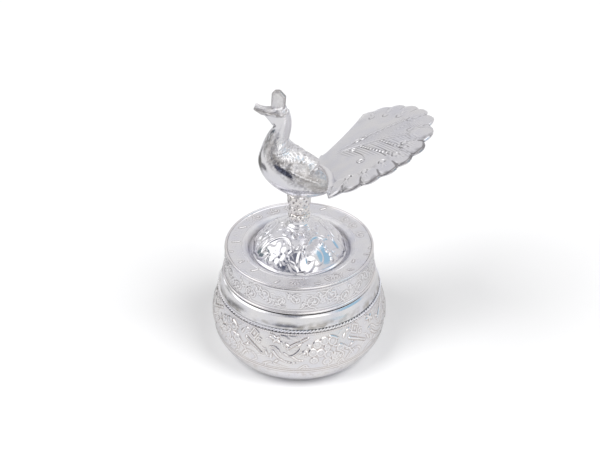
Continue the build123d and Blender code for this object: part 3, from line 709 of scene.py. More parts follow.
blade_marks = (
    (2.0, 5.4, 20), (10.4, 1.9, 5), (10.6, 2.9, 8), (10.3, 3.9, 2), (19.0, 5.2, -15), (26.2, 2.2, 10),
    (26.6, 3.1, 4),
)
for x, y, angle in blade_marks:
    skirt_panel.stroke((x, y), 2.3, angle, 12, 0.3, 0.15, 0.12)
for flower in ((7.4, 3.2), (23.4, 3.2)):
    for quarter in (0, 90, 180, 270):
        skirt_panel.petal(flower, 1.15, 0.85, 40 + quarter, 0.14)
        skirt_panel.boss(beside(flower, quarter, 1.0), 0.5, 0.5, 0, 0.11)
for level in (0.35, 6.55):
    skirt_panel.border(level, 0.24, 0.14)
skirt_panel.height = soften(skirt_panel.height, 1)
engraved = np.clip(skirt_panel.y / 0.25, 0, 1) * np.clip((6.9 - skirt_panel.y) / 0.25, 0, 1)
skirt_sink = on_rows(skirt_section, skirt_wall, (SKIRT_RELIEF - skirt_panel.height) * engraved)
skirt_worn = on_rows(skirt_section, skirt_wall, wear(skirt_panel.height, 0.024))
all_round = SKIRT_START + SKIRT_STEP * np.arange(SKIRT_REPEATS * len(skirt_azimuths))
turned_skirt = spin_round(skirt_section, all_round, np.tile(skirt_sink, SKIRT_REPEATS))
skirt = skin("engraved_skirt", turned_skirt, np.tile(skirt_worn, SKIRT_REPEATS))
engraved_silver = silver("engraved_silver", (0.88, 0.868, 0.875), (0.56, 0.53, 0.53), 0.25, 0.4, 0.003)
fit(skirt, engraved_silver, "lid", "lid_skirt", "lid_skirt")


# The lid's two wires: a half-round bead round the foot of the skirt, and a round wire
# over the joint of skirt and top. Both are soldered on.
BEAD_RADIUS, RIM_RADIUS, WIRE_STEPS, WIRE_SIDES = 0.38, 0.36, 360, 12
bead_ring, bead_height = SKIRT_RADIUS + SOLDER_GAP, SKIRT_BOTTOM + SKIRT_FOOT / 2
edge_bead = ring_wire("edge_bead", bead_ring, bead_height, BEAD_RADIUS, WIRE_STEPS, WIRE_SIDES)
fit(edge_bead, wire_silver, "lid", "lid_wires", "lid_edge_bead")
rim_ring, rim_height = SKIRT_INNER + RIM_RADIUS, SKIRT_TOP + SOLDER_GAP + RIM_RADIUS
rim_wire = ring_wire("rim_wire", rim_ring, rim_height, RIM_RADIUS, WIRE_STEPS, WIRE_SIDES)
fit(rim_wire, wire_silver, "lid", "lid_wires", "lid_rim_wire")


# The lid's top: a flat ring of sheet whose inner edge is turned down over a round lip into
# the well of the dome. Its face is matt and engraved with a wreath.
TOP_RADIUS, TOP_SHEET, TOP_RELIEF = SKIRT_INNER - SOLDER_GAP, 0.8, 0.2
FACE_HEIGHT, WELL_RADIUS = SKIRT_TOP + 0.62, TOP_RADIUS - 5.83
WELL_FLOOR, FLOOR_WIDTH, LIP_ROUNDING = FACE_HEIGHT - 2.42, 1.8, 1.62
TOP_AZIMUTHS = np.arange(0, 360, 0.4)

inside_top, floor_edge = WELL_RADIUS + TOP_SHEET, WELL_RADIUS - FLOOR_WIDTH
top_section = spun_outline([
    (TOP_RADIUS, FACE_HEIGHT - TOP_SHEET, 0.1, 0.4), (TOP_RADIUS, FACE_HEIGHT, 0.12, 0.14),
    (WELL_RADIUS, FACE_HEIGHT, LIP_ROUNDING, 0.3), (WELL_RADIUS, WELL_FLOOR, 0.74, 0.2),
    (floor_edge, WELL_FLOOR, 0, 0.4), (floor_edge, WELL_FLOOR - TOP_SHEET, 0.1, 1),
    (inside_top, WELL_FLOOR - TOP_SHEET, 0.1, 1), (inside_top, FACE_HEIGHT - TOP_SHEET, 0.7, 2),
])
on_face = (top_section[:, 1] > FACE_HEIGHT - 0.005) & (top_section[:, 0] > 15.5)
top_turn = np.radians(TOP_AZIMUTHS)[None, :]
face_radius = top_section[on_face][:, :1]
top_face = Chasing(face_radius * np.sin(top_turn), -face_radius * np.cos(top_turn))


def on_ring(azimuth, radius):
    """Place on a round face seen from above, by azimuth and radius."""
    return radius * math.sin(math.radians(azimuth)), -radius * math.cos(math.radians(azimuth))


dashes = (
    (-115, 18.6, 14, 1.8), (-93, 18.5, 4, 1.8), (-80, 20, -8, 1.2), (-46, 17.9, 12, 1.7),
    (75, 18.8, 6, 1.7), (84, 19.6, 40, 1.1), (14, 18.6, -20, 1.5), (24, 17.6, -40, 1.3),
    (48, 18.0, 10, 1.3), (-20, 18.9, 30, 1.3), (-62, 18.4, 30, 1.2), (160, 18.2, 20, 1.5),
    (-150, 17.6, -10, 1.5), (60, 17.0, 70, 1.0),
)
for place, radius, angle, length in dashes:
    top_face.stroke(on_ring(VIEW_AZIMUTH + place, radius), length, VIEW_AZIMUTH + angle, 10, 0.46, 0.2, 0.36)
for place in (104, 120, 132, -139, -158, -172, 34):
    top_face.scroll(on_ring(VIEW_AZIMUTH + place, 17.8), 1.25, place, 0.95, 0.3, 0.13)
    top_face.stroke(on_ring(VIEW_AZIMUTH + place + 3, 19.2), 2.2, place + 100, -60, 0.28, 0.13, 0.12)
for leaf in range(-2, 3):
    top_face.petal(on_ring(10.5, 16.8), 2.3, 0.62, 10.5 - 90 + leaf * 30, 0.1, 0.03)
    top_face.petal(on_ring(46, 17.2), 1.9, 0.6, 46 - 140 + leaf * 34, 0.1, 0.03)
point = np.random.default_rng(31)
top_face.strew(point, 34, on_ring, (0, 360), (16.3, 19.5), (0.5, 1.8), 110, (0.04, 0.09), 0.28)
top_face.height = soften(top_face.height, 1)
top_edges = np.clip((face_radius - 15.9) / 0.3, 0, 1) * np.clip((19.8 - face_radius) / 0.2, 0, 1)
top_sink = on_rows(top_section, on_face, (TOP_RELIEF - top_face.height) * top_edges)
top_worn = on_rows(top_section, on_face, wear(top_face.height, 0.02))
lid_top = skin("lid_top_ring", spin_round(top_section, TOP_AZIMUTHS, top_sink), top_worn)
fit(lid_top, engraved_silver, "lid", "lid_top", "lid_top")
# The lip and the well take a rougher silver, a little paler than the face: painted light against the shade
# in the well round the dome.
lip_silver = silver("lip_silver", (0.9, 0.888, 0.895), (0.6, 0.58, 0.58), 0.55, 0.5, 0.004)
lid_top.data.materials.append(lip_silver)
for face in lid_top.data.polygons:
    face.material_index = int(face.center.xy.length < 15.8 * MM)


# The dome: a thin cap of sheet, embossed from inside with large flowers and curled leaves,
# then polished. It stands in the well and is held by the peacock's stem.
STEM_BORE, DOME_SHEET, DOME_RELIEF = 1.53, 0.7, 0.36
DOME_BASE, DOME_TOP, CAP_RISE = WELL_RADIUS - 0.8, WELL_FLOOR + 9.8, 8.8
DOME_RADIUS = (DOME_BASE**2 + CAP_RISE**2) / (2 * CAP_RISE)
DOME_CENTRE = DOME_TOP - DOME_RADIUS
DOME_AZIMUTHS = np.arange(0, 360, 0.75)


def dome_curve(depth, foot_turn, count):
    """Stops up the round of the dome at a depth in its sheet, from the foot to the hole."""
    radius = DOME_RADIUS - depth
    turns = np.linspace(foot_turn, math.asin(STEM_BORE / radius), count)
    return [(radius * math.sin(a), DOME_CENTRE + radius * math.cos(a), 0, 1) for a in turns]


dome_foot = WELL_FLOOR + SOLDER_GAP
dome_section = spun_outline([
    (DOME_BASE, dome_foot, 0.1, 0.3), *dome_curve(0, 1.1605, 112), *dome_curve(DOME_SHEET, 1.15, 16)[::-1],
    (DOME_BASE - DOME_SHEET, dome_foot, 0.1, 0.3),
])
cap_height = dome_section[:, 1] - DOME_CENTRE
on_cap = np.hypot(dome_section[:, 0], cap_height) > DOME_RADIUS - 0.057
cap_reach = (DOME_RADIUS * np.arctan2(dome_section[:, 0], cap_height))[on_cap][:, None]
dome_turn = np.radians(DOME_AZIMUTHS)[None, :]
dome_face = Chasing(cap_reach * np.sin(dome_turn), -cap_reach * np.cos(dome_turn))
for motif in range(5):
    middle = VIEW_AZIMUTH - 33 + motif * 72
    if motif % 2 == 0:
        flower = on_ring(middle, 11.9)
        for petal in range(6):
            angle = middle - 90 + 18 + 60 * petal
            dome_face.boss(beside(flower, angle, 2.75), 3.5, 2.9, angle, 0.34)
        dome_face.boss(flower, 2.6, 2.6, 0, 0.34)
    else:
        dome_face.petal(on_ring(middle - 9, 14.6), 7.4, 5.6, middle + 104, 0.26, 0.05)
        for berry in range(5):
            spot = on_ring(middle + 9 + 2 * (berry % 2), 14.6 - 1.35 * berry)
            dome_face.boss(spot, 1.5, 1.3, 30 * berry, 0.3)
    border = ((-29, 15.4), (-30, 11.8), (-22, 8.6), (-8, 6.9), (8, 7.0), (17, 8.6))
    dome_face.ridge([on_ring(middle + turn, radius) for turn, radius in border], 0.8, 0.3, 0.5)
    between = middle + 36
    dome_face.petal(on_ring(between, 15.9), 6.0, 3.4, between + 90, 0.34, 0.1)
    for side in (-1, 1):
        dome_face.petal(on_ring(between + side * 4, 16.2), 5.0, 2.8, between + 90 - side * 40, 0.3, 0.06)
    dome_face.boss(on_ring(between + 15, 11.6), 3.4, 2.2, middle + 60, 0.3)
    dome_face.ring(on_ring(between + 13, 14.4), 0.6, 0.3, 0.3)
    wave = ((20, 8.6), (27, 9.4), (33, 8.4), (39, 9.6), (46, 8.4))
    dome_face.ridge([on_ring(middle + turn, radius) for turn, radius in wave], 0.42, 0.24, 0.3)
    for turn, radius in ((-12, 5.1), (24, 5.2)):
        dome_face.ring(on_ring(middle + turn, radius), 0.95, 0.5, 0.18)
punch = np.random.default_rng(7)
for _ in range(60):
    place, reach = punch.uniform(0, 360), punch.uniform(5.8, 15.6)
    length, angle = punch.uniform(0.8, 2.2), place + punch.uniform(60, 120)
    bend, height = punch.uniform(60, 150), punch.uniform(0.07, 0.14)
    dome_face.stroke(on_ring(place, reach), length, angle, bend, 0.3, height, 0.12)
dome_face.height = soften(dome_face.height, 4)
cap_edges = np.clip((cap_reach - 3.4) / 0.8, 0, 1) * np.clip((16.8 - cap_reach) / 0.5, 0, 1)
dome_sink = on_rows(dome_section, on_cap, (DOME_RELIEF - dome_face.height) * cap_edges)
dome_worn = on_rows(dome_section, on_cap, wear(dome_face.height, 0.08))
dome = skin("embossed_dome", spin_round(dome_section, DOME_AZIMUTHS, dome_sink), dome_worn)
dome_silver = silver("polished_silver", (0.88, 0.868, 0.875), (0.30, 0.29, 0.31), 0.13, 0.6, 0.02)
fit(dome, dome_silver, "lid", "dome", "lid_dome")


# The stem foot and the three collars: turned rings threaded on the stem, the collars
# pricked all over with a round punch.
FOOT_RADIUS, FOOT_TOP = 3.5, DOME_TOP + 1.5
PRICKS_ROUND, PRICK_RADIUS = 10, 0.38
COLLAR_AZIMUTHS = np.arange(0, 360, 2.5)


def over_dome(distance):
    """Height of what is soldered on the dome, at a distance from its axis."""
    return DOME_CENTRE + math.sqrt((DOME_RADIUS + SOLDER_GAP) ** 2 - distance**2)


foot_rim = over_dome(FOOT_RADIUS)
foot_section = spun_outline([
    (STEM_BORE, over_dome(STEM_BORE), 0, 0.5), (FOOT_RADIUS, foot_rim, 0.05, 0.3),
    (FOOT_RADIUS, foot_rim + 0.3, 0.08, 0.2), (2.75, FOOT_TOP - 1.06, 0.8, 0.2),
    (2.6, FOOT_TOP, 0.08, 0.3), (STEM_BORE, FOOT_TOP, 0, 0.5),
])
stem_foot = skin("flared_stem_foot", spin_round(foot_section, np.arange(0, 360, 3)))
fit(stem_foot, dome_silver, "lid", "stem_foot", "stem_foot")

collar_silver = silver("collar_silver", (0.88, 0.845, 0.815), (0.24, 0.2, 0.18), 0.17, 0.3, 0.005)
prick = np.random.default_rng(3)
bottom = FOOT_TOP + SOLDER_GAP
for place, radius, height, rows in (("lower", 3.1, 2.2, 2), ("middle", 2.9, 2.5, 2), ("upper", 3.3, 3.8, 3)):
    top = bottom + height
    collar_section = spun_outline([
        (STEM_BORE, bottom, 0, 0.6), (radius, bottom, 0.75, 0.12), (radius, top, 0.75, 0.12),
        (STEM_BORE, top, 0, 0.6),
    ])
    girth = 2 * math.pi * radius
    x, y = np.meshgrid(COLLAR_AZIMUTHS * girth / 360, collar_section[:, 1])
    pricks = Chasing(x, y, period=girth)
    for row in range(rows):
        for dot in range(PRICKS_ROUND):
            along = (dot + row % 2 / 2 + prick.uniform(-0.2, 0.2)) * girth / PRICKS_ROUND
            across, up = pricks.away((along, bottom + 0.65 + 1.15 * row + prick.uniform(-0.1, 0.1)))
            dent = np.exp(-((np.hypot(across, up) / PRICK_RADIUS) ** 2))
            pricks.height -= prick.uniform(0.2, 0.36) * dent
    pricked = pricks.height * np.clip((collar_section[:, :1] - radius + 0.5) / 0.3, 0, 1)
    turned_collar = spin_round(collar_section, COLLAR_AZIMUTHS, -pricked)
    collar = skin(f"{place}_collar", turned_collar, wear(pricked, 0.09))
    fit(collar, collar_silver, "lid", "stem_collars", f"stem_collar_{place}")
    bottom = top + SOLDER_GAP


# The peacock's body: one casting from rump to beak, polished on breast and neck and left
# grained on back and wings. Its form is two lines down the middle and the half widths
# between them, with heights over the perch.
PERCH_HEIGHT = FOOT_TOP + 3 * SOLDER_GAP + 7.8
BODY_COLUMNS, RAIL_PIECES = 144, 12
GRAIN, WING_SWELL, BEAK_SWELL, NAPE_RIDGE = 0.04, 0.5, 0.22, 0.4
back_line = [
    (9.6, 6.5), (7.8, 8.7), (4.2, 11.2), (0.2, 13.0), (-2.2, 13.9), (-3.1, 14.9), (-3.3, 16.1),
    (-2.9, 17.9), (-2.5, 19.9), (-2.4, 21.9), (-2.6, 23.9), (-3.4, 25.7), (-5.4, 26.5), (-7.6, 26.0),
    (-9.4, 25.6), (-11.9, 26.2),
]
breast_line = [
    (9.4, 3.0), (7.1, 1.3), (3.6, 0.2), (-0.8, 0.0), (-6.0, 2.0), (-9.7, 5.3), (-11.25, 9.5),
    (-10.3, 13.9), (-8.7, 17.7), (-7.15, 20.3), (-7.6, 21.2), (-8.4, 22.2), (-9.1, 23.0), (-9.6, 23.4),
    (-10.3, 23.65), (-12.3, 24.9),
]
half_widths = [1.6, 3.6, 5.3, 6.3, 6.1, 5.6, 4.9, 3.8, 2.9, 2.3, 2.0, 1.9, 1.7, 1.3, 0.95, 0.6]
back_rail = smooth_line(back_line, RAIL_PIECES)
breast_rail = smooth_line(breast_line, RAIL_PIECES)
width_rail = smooth_line(list(enumerate(half_widths)), RAIL_PIECES)[:, None, 1:]
girth_turn = np.linspace(0, 2 * math.pi, BODY_COLUMNS, endpoint=False)[None, :, None]
upward, sideways = np.cos(girth_turn), -np.sin(girth_turn)
spine = (back_rail + breast_rail)[:, None, :] / 2
depth = (back_rail - breast_rail)[:, None, :] / 2
outline = spine + depth * upward
body_points = np.concatenate([outline[..., :1], width_rail * sideways, outline[..., 1:]], 2)
spread = np.linalg.norm(depth, axis=2, keepdims=True)
lean = depth / spread * upward * width_rail
body_normal = np.concatenate([lean[..., :1], sideways * spread, lean[..., 1:]], 2)
body_normal /= np.linalg.norm(body_normal, axis=2, keepdims=True)


def inside(x, y, corners, softness):
    """How far inside a closed outline each place lies, from 0 on it to 1 well within."""
    within = np.zeros(np.shape(x), bool)
    off = np.full(np.shape(x), 1e9)
    for (x0, y0), (x1, y1) in zip(corners, np.roll(corners, -1, 0)):
        run, climb = x1 - x0, y1 - y0
        along = np.clip(((x - x0) * run + (y - y0) * climb) / (run**2 + climb**2), 0, 1)
        off = np.minimum(off, np.hypot(x - x0 - along * run, y - y0 - along * climb))
        crossing = (y0 > y) != (y1 > y)
        within ^= crossing & (x < run * (y - y0) / (climb + 1e-12) + x0)
    return np.where(within, np.clip(off / softness, 0, 1), 0)


def weld(piece):
    """Join the points that lie on one another, so that the piece is one closed skin."""
    form = bmesh.new()
    form.from_mesh(piece.data)
    bmesh.ops.remove_doubles(form, verts=form.verts, dist=0.002 * MM)
    form.to_mesh(piece.data)
    form.free()


def closed_ends(grid):
    """Add a last point at the middle of the first and of the last ring of a skin."""
    ends = [grid[row].mean(0)[None, None, :] + 0 * grid[:1] for row in (0, -1)]
    return np.concatenate([ends[0], grid, ends[1]])


side_x, side_z = body_points[..., 0], body_points[..., 2]
grained_skin = smooth_line([
    (-2.3, 19.2), (-4.2, 19.6), (-6.2, 19.8), (-7.7, 18.6), (-8.9, 16.2), (-8.9, 13.8), (-7.3, 12.2),
    (-3.4, 10.9), (-0.9, 9.4), (0.4, 7.6), (2.8, 6.2), (5.2, 4.0), (7.5, 2.0), (11.0, 1.8), (11.0, 10.0),
    (4.0, 14.0), (-1.0, 17.0), (-2.3, 19.6),
])[:-1]
folded_wing = smooth_line([
    (-6.4, 14.6), (-5.4, 12.7), (-3.9, 11.9), (-1.6, 11.7), (1.2, 11.6), (4.0, 10.6), (6.6, 8.6),
    (6.6, 9.8), (4.0, 12.4), (0.0, 14.6), (-3.0, 17.0), (-5.4, 16.6), (-6.4, 14.6),
])[:-1]
grained = inside(side_x, side_z, grained_skin, 1.2)
wing = inside(side_x, side_z, folded_wing, 1.3)
dice = np.random.default_rng(5)
rough = dice.normal(size=side_x.shape)
rough = (rough + np.roll(rough, 1, 0) + np.roll(rough, 1, 1) + np.roll(rough, -1, 1)) / 2
feathers = Chasing(side_x, side_z)
for quill in range(6):
    feathers.stroke((-5.0 + 1.1 * quill, 13.9 - 0.1 * quill), 3.0, -8 - 3 * quill, -34, 0.4, 0.12, 0.2)
    feathers.stroke((-1.6 + 1.2 * quill, 10.4 - 0.55 * quill), 2.6, -14, -30, 0.4, 0.1, 0.2)
    feathers.scroll((-5.2 + 0.9 * quill, 14.9 - 0.12 * quill), 0.45, -120, 0.5, 0.22, 0.12)
nape_line = np.array(back_line[3:12])
for barb in range(12):
    height = 18.2 + 0.62 * barb
    nape = np.interp(height, nape_line[:, 1], nape_line[:, 0])
    feathers.groove([(nape + 0.1, height + 0.2), (nape - 1.1, height - 0.5)], 0.3, 0.07, 0.15)
feathers.groove([(-12.2, 25.5), (-9.4, 24.8), (-6.6, 24.9), (-5.4, 25.2)], 0.4, 0.2, 0.34)
feathers.ridge([(-5.5, 26.1), (-4.4, 26.5), (-3.4, 26.0), (-3.2, 25.1)], 0.4, 0.16)
feathers.ridge([(-6.6, 25.9), (-7.8, 25.7), (-9.6, 25.3)], 0.4, 0.1, 0.2)

ring_number = np.arange(len(back_rail))[:, None]
crown = np.clip((ring_number - 55) / 12, 0, 1) * np.clip((150 - ring_number) / 8, 0, 1)
nape_ridge = crown * np.exp(-((body_points[..., 1] / 0.42) ** 2)) * (upward[..., 0] > 0)
on_head = np.clip((side_z - 24.2) / 0.8, 0, 1)
body_relief = np.maximum(grained, 0.6 * on_head) * (0.03 + GRAIN * rough) + feathers.height
body_relief += WING_SWELL * wing**2 * (3 - 2 * wing) + NAPE_RIDGE * nape_ridge
body_relief += BEAK_SWELL * np.clip((ring_number - 158) / 10, 0, 1)
body_grid = body_points + body_normal * body_relief[..., None]
body_grid[..., 2] += PERCH_HEIGHT

# Painted shade on the body, in the silver's dark tone: bands down the breast, under the wing and along the
# lower flank, and lines along the beak and round the eye.
dark_tone = Chasing(side_x, side_z)
painted_shade_paths = (
    (5.0, 1.1, (
        (-7.2, 18.6), (-7.4, 17.2), (-7.4, 15.4), (-6.2, 13.2), (-4.4, 11.6), (-2.2, 10.2), (-0.2, 8.6),
    )),
    (2.2, 1.0, ((-3.6, 11.9), (-1.4, 11.6), (1.0, 11.2), (3.4, 10.2))),
    (6.8, 1.1, ((0.6, 8.8), (3.4, 7.8), (7.0, 5.6), (10.0, 4.4))),
    (1.8, 1.2, ((-11.8, 24.9), (-9.4, 24.6), (-7.4, 24.9), (-5.6, 24.7))),
    (0.8, 0.9, ((-5.6, 25.6), (-5.2, 24.7), (-4.2, 24.4), (-3.4, 25.2), (-3.6, 26.2))),
    (1.0, 0.9, ((-8.6, 25.5), (-7.0, 25.9))),
)
for width, strength, path in painted_shade_paths:
    near, cover = dark_tone.line(path, width)
    dark_tone.height[near] = np.maximum(dark_tone.height[near], strength * np.clip(cover, 0, 1))
painted_shade = dark_tone.height * np.clip(0.7 + 0.45 * rough, 0, 1)
body_wear_and_shade = np.clip(wear(body_relief, 0.11) - 0.9 * painted_shade, -1, 1)
body = skin("peacock_cast_body", closed_ends(body_grid), np.pad(body_wear_and_shade, ((1, 1), (0, 0))), open_up=True)
weld(body)
fit(body, dome_silver, "lid", "peacock_body", "peacock_body")
grained_silver = silver("grained_silver", (0.88, 0.865, 0.86), (0.40, 0.38, 0.37), 0.24, 0.2, 0.05)
body.data.materials.append(grained_silver)
middles = np.empty(3 * len(body.data.polygons))
body.data.polygons.foreach_get("center", middles)
middle_x, _, middle_z = middles.reshape(-1, 3).T / MM
middle_z -= PERCH_HEIGHT
face_grained = (inside(middle_x, middle_z, grained_skin, 0.1) > 0.5) | (middle_z > 24.4)
body.data.polygons.foreach_set("material_index", face_grained.astype(int))


# The eyes: a grain of silver on each side of the head, punched with a ring for the pupil.
# Each sits half sunk in the casting.
EYE_X, EYE_Y, EYE_Z, EYE_RADIUS = -4.4, 1.35, 25.6, 0.7

eye_turn = np.radians(np.arange(0, 360, 12))[None, :]
eye_polar = np.radians(np.linspace(1, 125, 26))[:, None]
pupil_ring = 0.1 * np.exp(-(((np.degrees(eye_polar) - 40) / 9) ** 2))
eye_reach = EYE_RADIUS * (1 - pupil_ring) + 0 * eye_turn
eye_round, eye_out = eye_reach * np.sin(eye_polar), eye_reach * np.cos(eye_polar)
for side, name in ((-1, "left"), (1, "right")):
    eye_height = PERCH_HEIGHT + EYE_Z - side * eye_round * np.sin(eye_turn)
    eye_points = np.stack([EYE_X + eye_round * np.cos(eye_turn), side * (EYE_Y + eye_out), eye_height], -1)
    eye = skin(f"peacock_eye_{name}", closed_ends(eye_points), open_up=True)
    weld(eye)
    fit(eye, wire_silver, "lid", "peacock_eyes", "peacock_eyes")


# The tail: a cast fan, arched from root to tip, with scalloped lobes and a rounded edge.
# Its face is chased as a feather is, with a quill, slanting rows of beads and an eye in
# each lobe, and its two flanks are rolled over next to the body.
TAIL_THICKNESS, TAIL_RELIEF, EDGE_ROUNDING = 1.2, 0.3, 0.55
ARCH_RADIUS, BOW_RADIUS = 80.4, 200
ROOT_X, ROOT_Z, ROOT_SLOPE = 6.1, 11.85, math.radians(35.8)
ROOT_REACH, ROOT_HALF_WIDTH, ROOT_LENGTH, ROOT_PLACE = 11.2, 3.6, 1.4, 0.06
FAN_X, FAN_Z, FAN_SLOPE, FAN_RADIUS, FAN_HALF_ANGLE = 15.7, 17.4, math.radians(22.5), 20.4, 100.5
stop_angles = [-12.1, 12.1, 30.7, 45.4, 60.0, 74.9, 90.2, FAN_HALF_ANGLE]
stop_steps = [-0.7, -0.7, -0.2, 0.0, 0.0, 0.1, 0.2, 1.2]
lobe_rises = [0.6, 0.9, 0.9, 0.9, 0.9, 0.9, 0.9]


def fan_reach(angle):
    """Distance of the scalloped edge from the fan's centre, at an angle from its middle."""
    size = np.abs(angle)
    lobe = np.clip(np.searchsorted(stop_angles, size, side="right") - 1, 0, len(lobe_rises) - 1)
    low, high = np.take(stop_angles, lobe), np.take(stop_angles, lobe + 1)
    start, end = np.take(stop_steps, lobe), np.take(stop_steps, lobe + 1)
    place = (size - low) / (high - low)
    bulge = np.take(lobe_rises, lobe) - (start + end) / 2
    return FAN_RADIUS + start + (end - start) * place + 4 * place * (1 - place) * bulge


def on_fan(u, v, under):
    """Points of the arched and bowed sheet under places of the fan's plane, at a depth in it."""
    slope = np.array([math.cos(FAN_SLOPE), 0, math.sin(FAN_SLOPE)])
    upright = np.array([-math.sin(FAN_SLOPE), 0, math.cos(FAN_SLOPE)])
    flat = np.array([FAN_X, 0, FAN_Z + PERCH_HEIGHT]) + u[..., None] * slope
    flat += v[..., None] * np.array([0, 1, 0])
    arch_x = ROOT_X + ARCH_RADIUS * math.sin(ROOT_SLOPE)
    arch_z = ROOT_Z + PERCH_HEIGHT - ARCH_RADIUS * math.cos(ROOT_SLOPE)
    bow_z = FAN_Z + PERCH_HEIGHT - BOW_RADIUS
    lift = np.zeros(u.shape)
    for _ in range(14):
        spot = flat + lift[..., None] * upright
        reach = arch_z + np.sqrt((ARCH_RADIUS - under) ** 2 - (spot[..., 0] - arch_x) ** 2) - bow_z
        lift += (bow_z + np.sqrt(reach**2 - spot[..., 1] ** 2) - spot[..., 2]) * math.cos(FAN_SLOPE)
    return flat + lift[..., None] * upright


def on_arc(angle, radius):
    """Place on the fan's plane, by angle from its middle line and distance from its centre."""
    return beside((0, 0), angle, radius)


def lay(lines, cover_all):
    """Add how much of each line covers the fan, where lines give points, width and end width."""
    for points, *widths in lines:
        near, cover = fan.line(points, *widths)
        cover_all[near] = np.maximum(cover_all[near], cover)
    return cover_all


fan_side = np.linspace(-1, 1, 321)[None, :]
fan_place = np.concatenate([np.linspace(0, 0.97, 112), np.linspace(0.976, 1, 7)])[:, None]
ray_place = np.clip((fan_place - ROOT_PLACE) / (1 - ROOT_PLACE), 0, 1)
ray_angle = FAN_HALF_ANGLE * fan_side
ray_u = fan_reach(ray_angle) * np.cos(np.radians(ray_angle)) + ROOT_REACH
ray_v = fan_reach(ray_angle) * np.sin(np.radians(ray_angle)) - ROOT_HALF_WIDTH * fan_side
ray_bend = 1.37 * fan_side**3 * 4 * ray_place * (1 - ray_place) / np.hypot(ray_u, ray_v)
root_part = np.clip(fan_place / ROOT_PLACE, 0, 1)
fan_u = ROOT_LENGTH * (root_part - 1) - ROOT_REACH + ray_u * ray_place + ray_v * ray_bend
fan_v = ROOT_HALF_WIDTH * fan_side + ray_v * ray_place - ray_u * ray_bend
fan = Chasing(fan_u, fan_v)
fan_spots = np.stack([fan_u, fan_v], -1)
fan_edge = np.vstack([fan_spots[::6, 0], fan_spots[-1, ::2], fan_spots[::-6, -1]])
edge_sides = [(start, end) for start, end in zip(fan_edge, fan_edge[1:]) if np.any(start != end)]
near_edge = lay([(side, 2 * EDGE_ROUNDING) for side in edge_sides], np.zeros(fan_u.shape))
edge_drop = EDGE_ROUNDING * (1 - np.sqrt(1 - (1 - np.sqrt(1 - near_edge)) ** 2))
flanks = (
    (((-10.4, -4.3), (-9.3, -5.6), (-7.4, -8.4), (-5.7, -11.6)), 0.8, 2.6),
    (((-5.7, -11.6), (-4.4, -14.8), (-3.9, -17.8), (-3.9, -20.6)), 2.6, 0.6),
)
rolled = np.sqrt(np.clip(lay(flanks, np.zeros(fan_u.shape)), 0, 1))

cushions = Chasing(fan_u, fan_v)
for side, strength in ((-1, 1.0), (1, 0.45)):
    for start, end in zip(stop_angles, stop_angles[1:]):
        middle = side * (start + end) / 2
        cushions.boss(on_arc(middle, 17.9), 5.8, 5.0, middle, 0.5 * strength)
        valley = [on_arc(side * end, 20.6), on_arc(side * end, 19.2), on_arc(side * end * 0.99, 17.8)]
        fan.groove(valley, 1.5, 0.12 * strength, 0.4)
for side, bead_size in ((-1, 0.86), (1, 0.42)):
    for barb in range(24):
        root_u = -5.4 + barb
        reach = min(10.5, 4.5 + 0.6 * barb, (18.0 - root_u) * 0.85)
        if reach > 1.5:
            bend, tip = (0.55 * reach, 0.4 + 0.5 * reach), (1.05 * reach, 0.4 + reach)
            path = [(root_u + along, side * aside) for along, aside in ((0.7, 0.8), bend, tip)]
            fan.ridge(path, 0.34, 0.09, 0.16)
    for root_u, reach in ((0.4, 9.0), (6.4, 7.0)):
        if side < 0:
            bend, tip = (root_u + reach * 0.62, -reach * 0.5), (root_u + reach * 1.08, -reach)
            fan.groove([(root_u + 1.3, -0.8), bend, tip], 0.5, 0.16, 0.4)
        for bead in range(int(reach / 0.74)):
            aside = 1.0 + 0.74 * bead
            spot = (root_u + aside * 1.04 + 0.03 * aside**2, side * aside)
            fan.boss(spot, bead_size, bead_size * 0.75, side * 42, 0.4 * bead_size)
for place in (-3.0, 3.4, 9.4):
    fan.groove([(place + 1.0, -1.0), (place + 5.5, -5.6), (place + 7.0, -8.0)], 0.3, 0.1, 0.2)
fan.ridge([(-9, 0), (0, 0), (14, 0)], 0.8, 0.14, 0.3)
for quill in range(7):
    foot, waist = (-6.5 + 0.8 * quill, 0.8 + 0.3 * quill), (-1.5 + 1.4 * quill, 3.4 + 0.42 * quill)
    fan.ridge([foot, waist, (4.5 + 1.5 * quill, 5.2 + 0.6 * quill)], 0.36, 0.15, 0.2)

chance = np.random.default_rng(19)
eyelets = (
    (14.3, -4.4), (12.9, -9.7), (9.6, -11.9), (5.4, -14.8), (14.6, 2.4), (13.4, 8.4), (9.6, 11.9),
    (5.0, 14.6), (0.9, -15.6), (0.6, 15.8),
)
for eyelet in eyelets:
    angle = math.degrees(math.atan2(eyelet[1], eyelet[0])) + chance.uniform(-15, 15)
    bold = 1.15 if eyelet[1] < 0 else 0.3
    fan.boss(eyelet, 1.6 * bold, 1.1 * bold, angle, 0.3 * bold)
    fan.groove([beside(eyelet, angle + turn, 0.95) for turn in (90, 150, 210, 270)], 0.55, 0.34 * bold, 0.3)
    for twig in (-24, 0, 24):
        root, length = beside(eyelet, angle, 1.0), chance.uniform(1.4, 2.4)
        fan.stroke(root, length, angle + twig, 0, 0.34, 0.12, 0.14)
for u, v, size in ((1.0, 3.7, 0.8), (-0.6, 3.0, 0.65), (-0.7, -1.7, 0.5), (3.0, -8.9, 0.6)):
    fan.ring((u, v), size, 0.36, 0.3)
    fan.groove([(u - 0.4, v), (u + 0.4, v)], 0.6, 0.2)

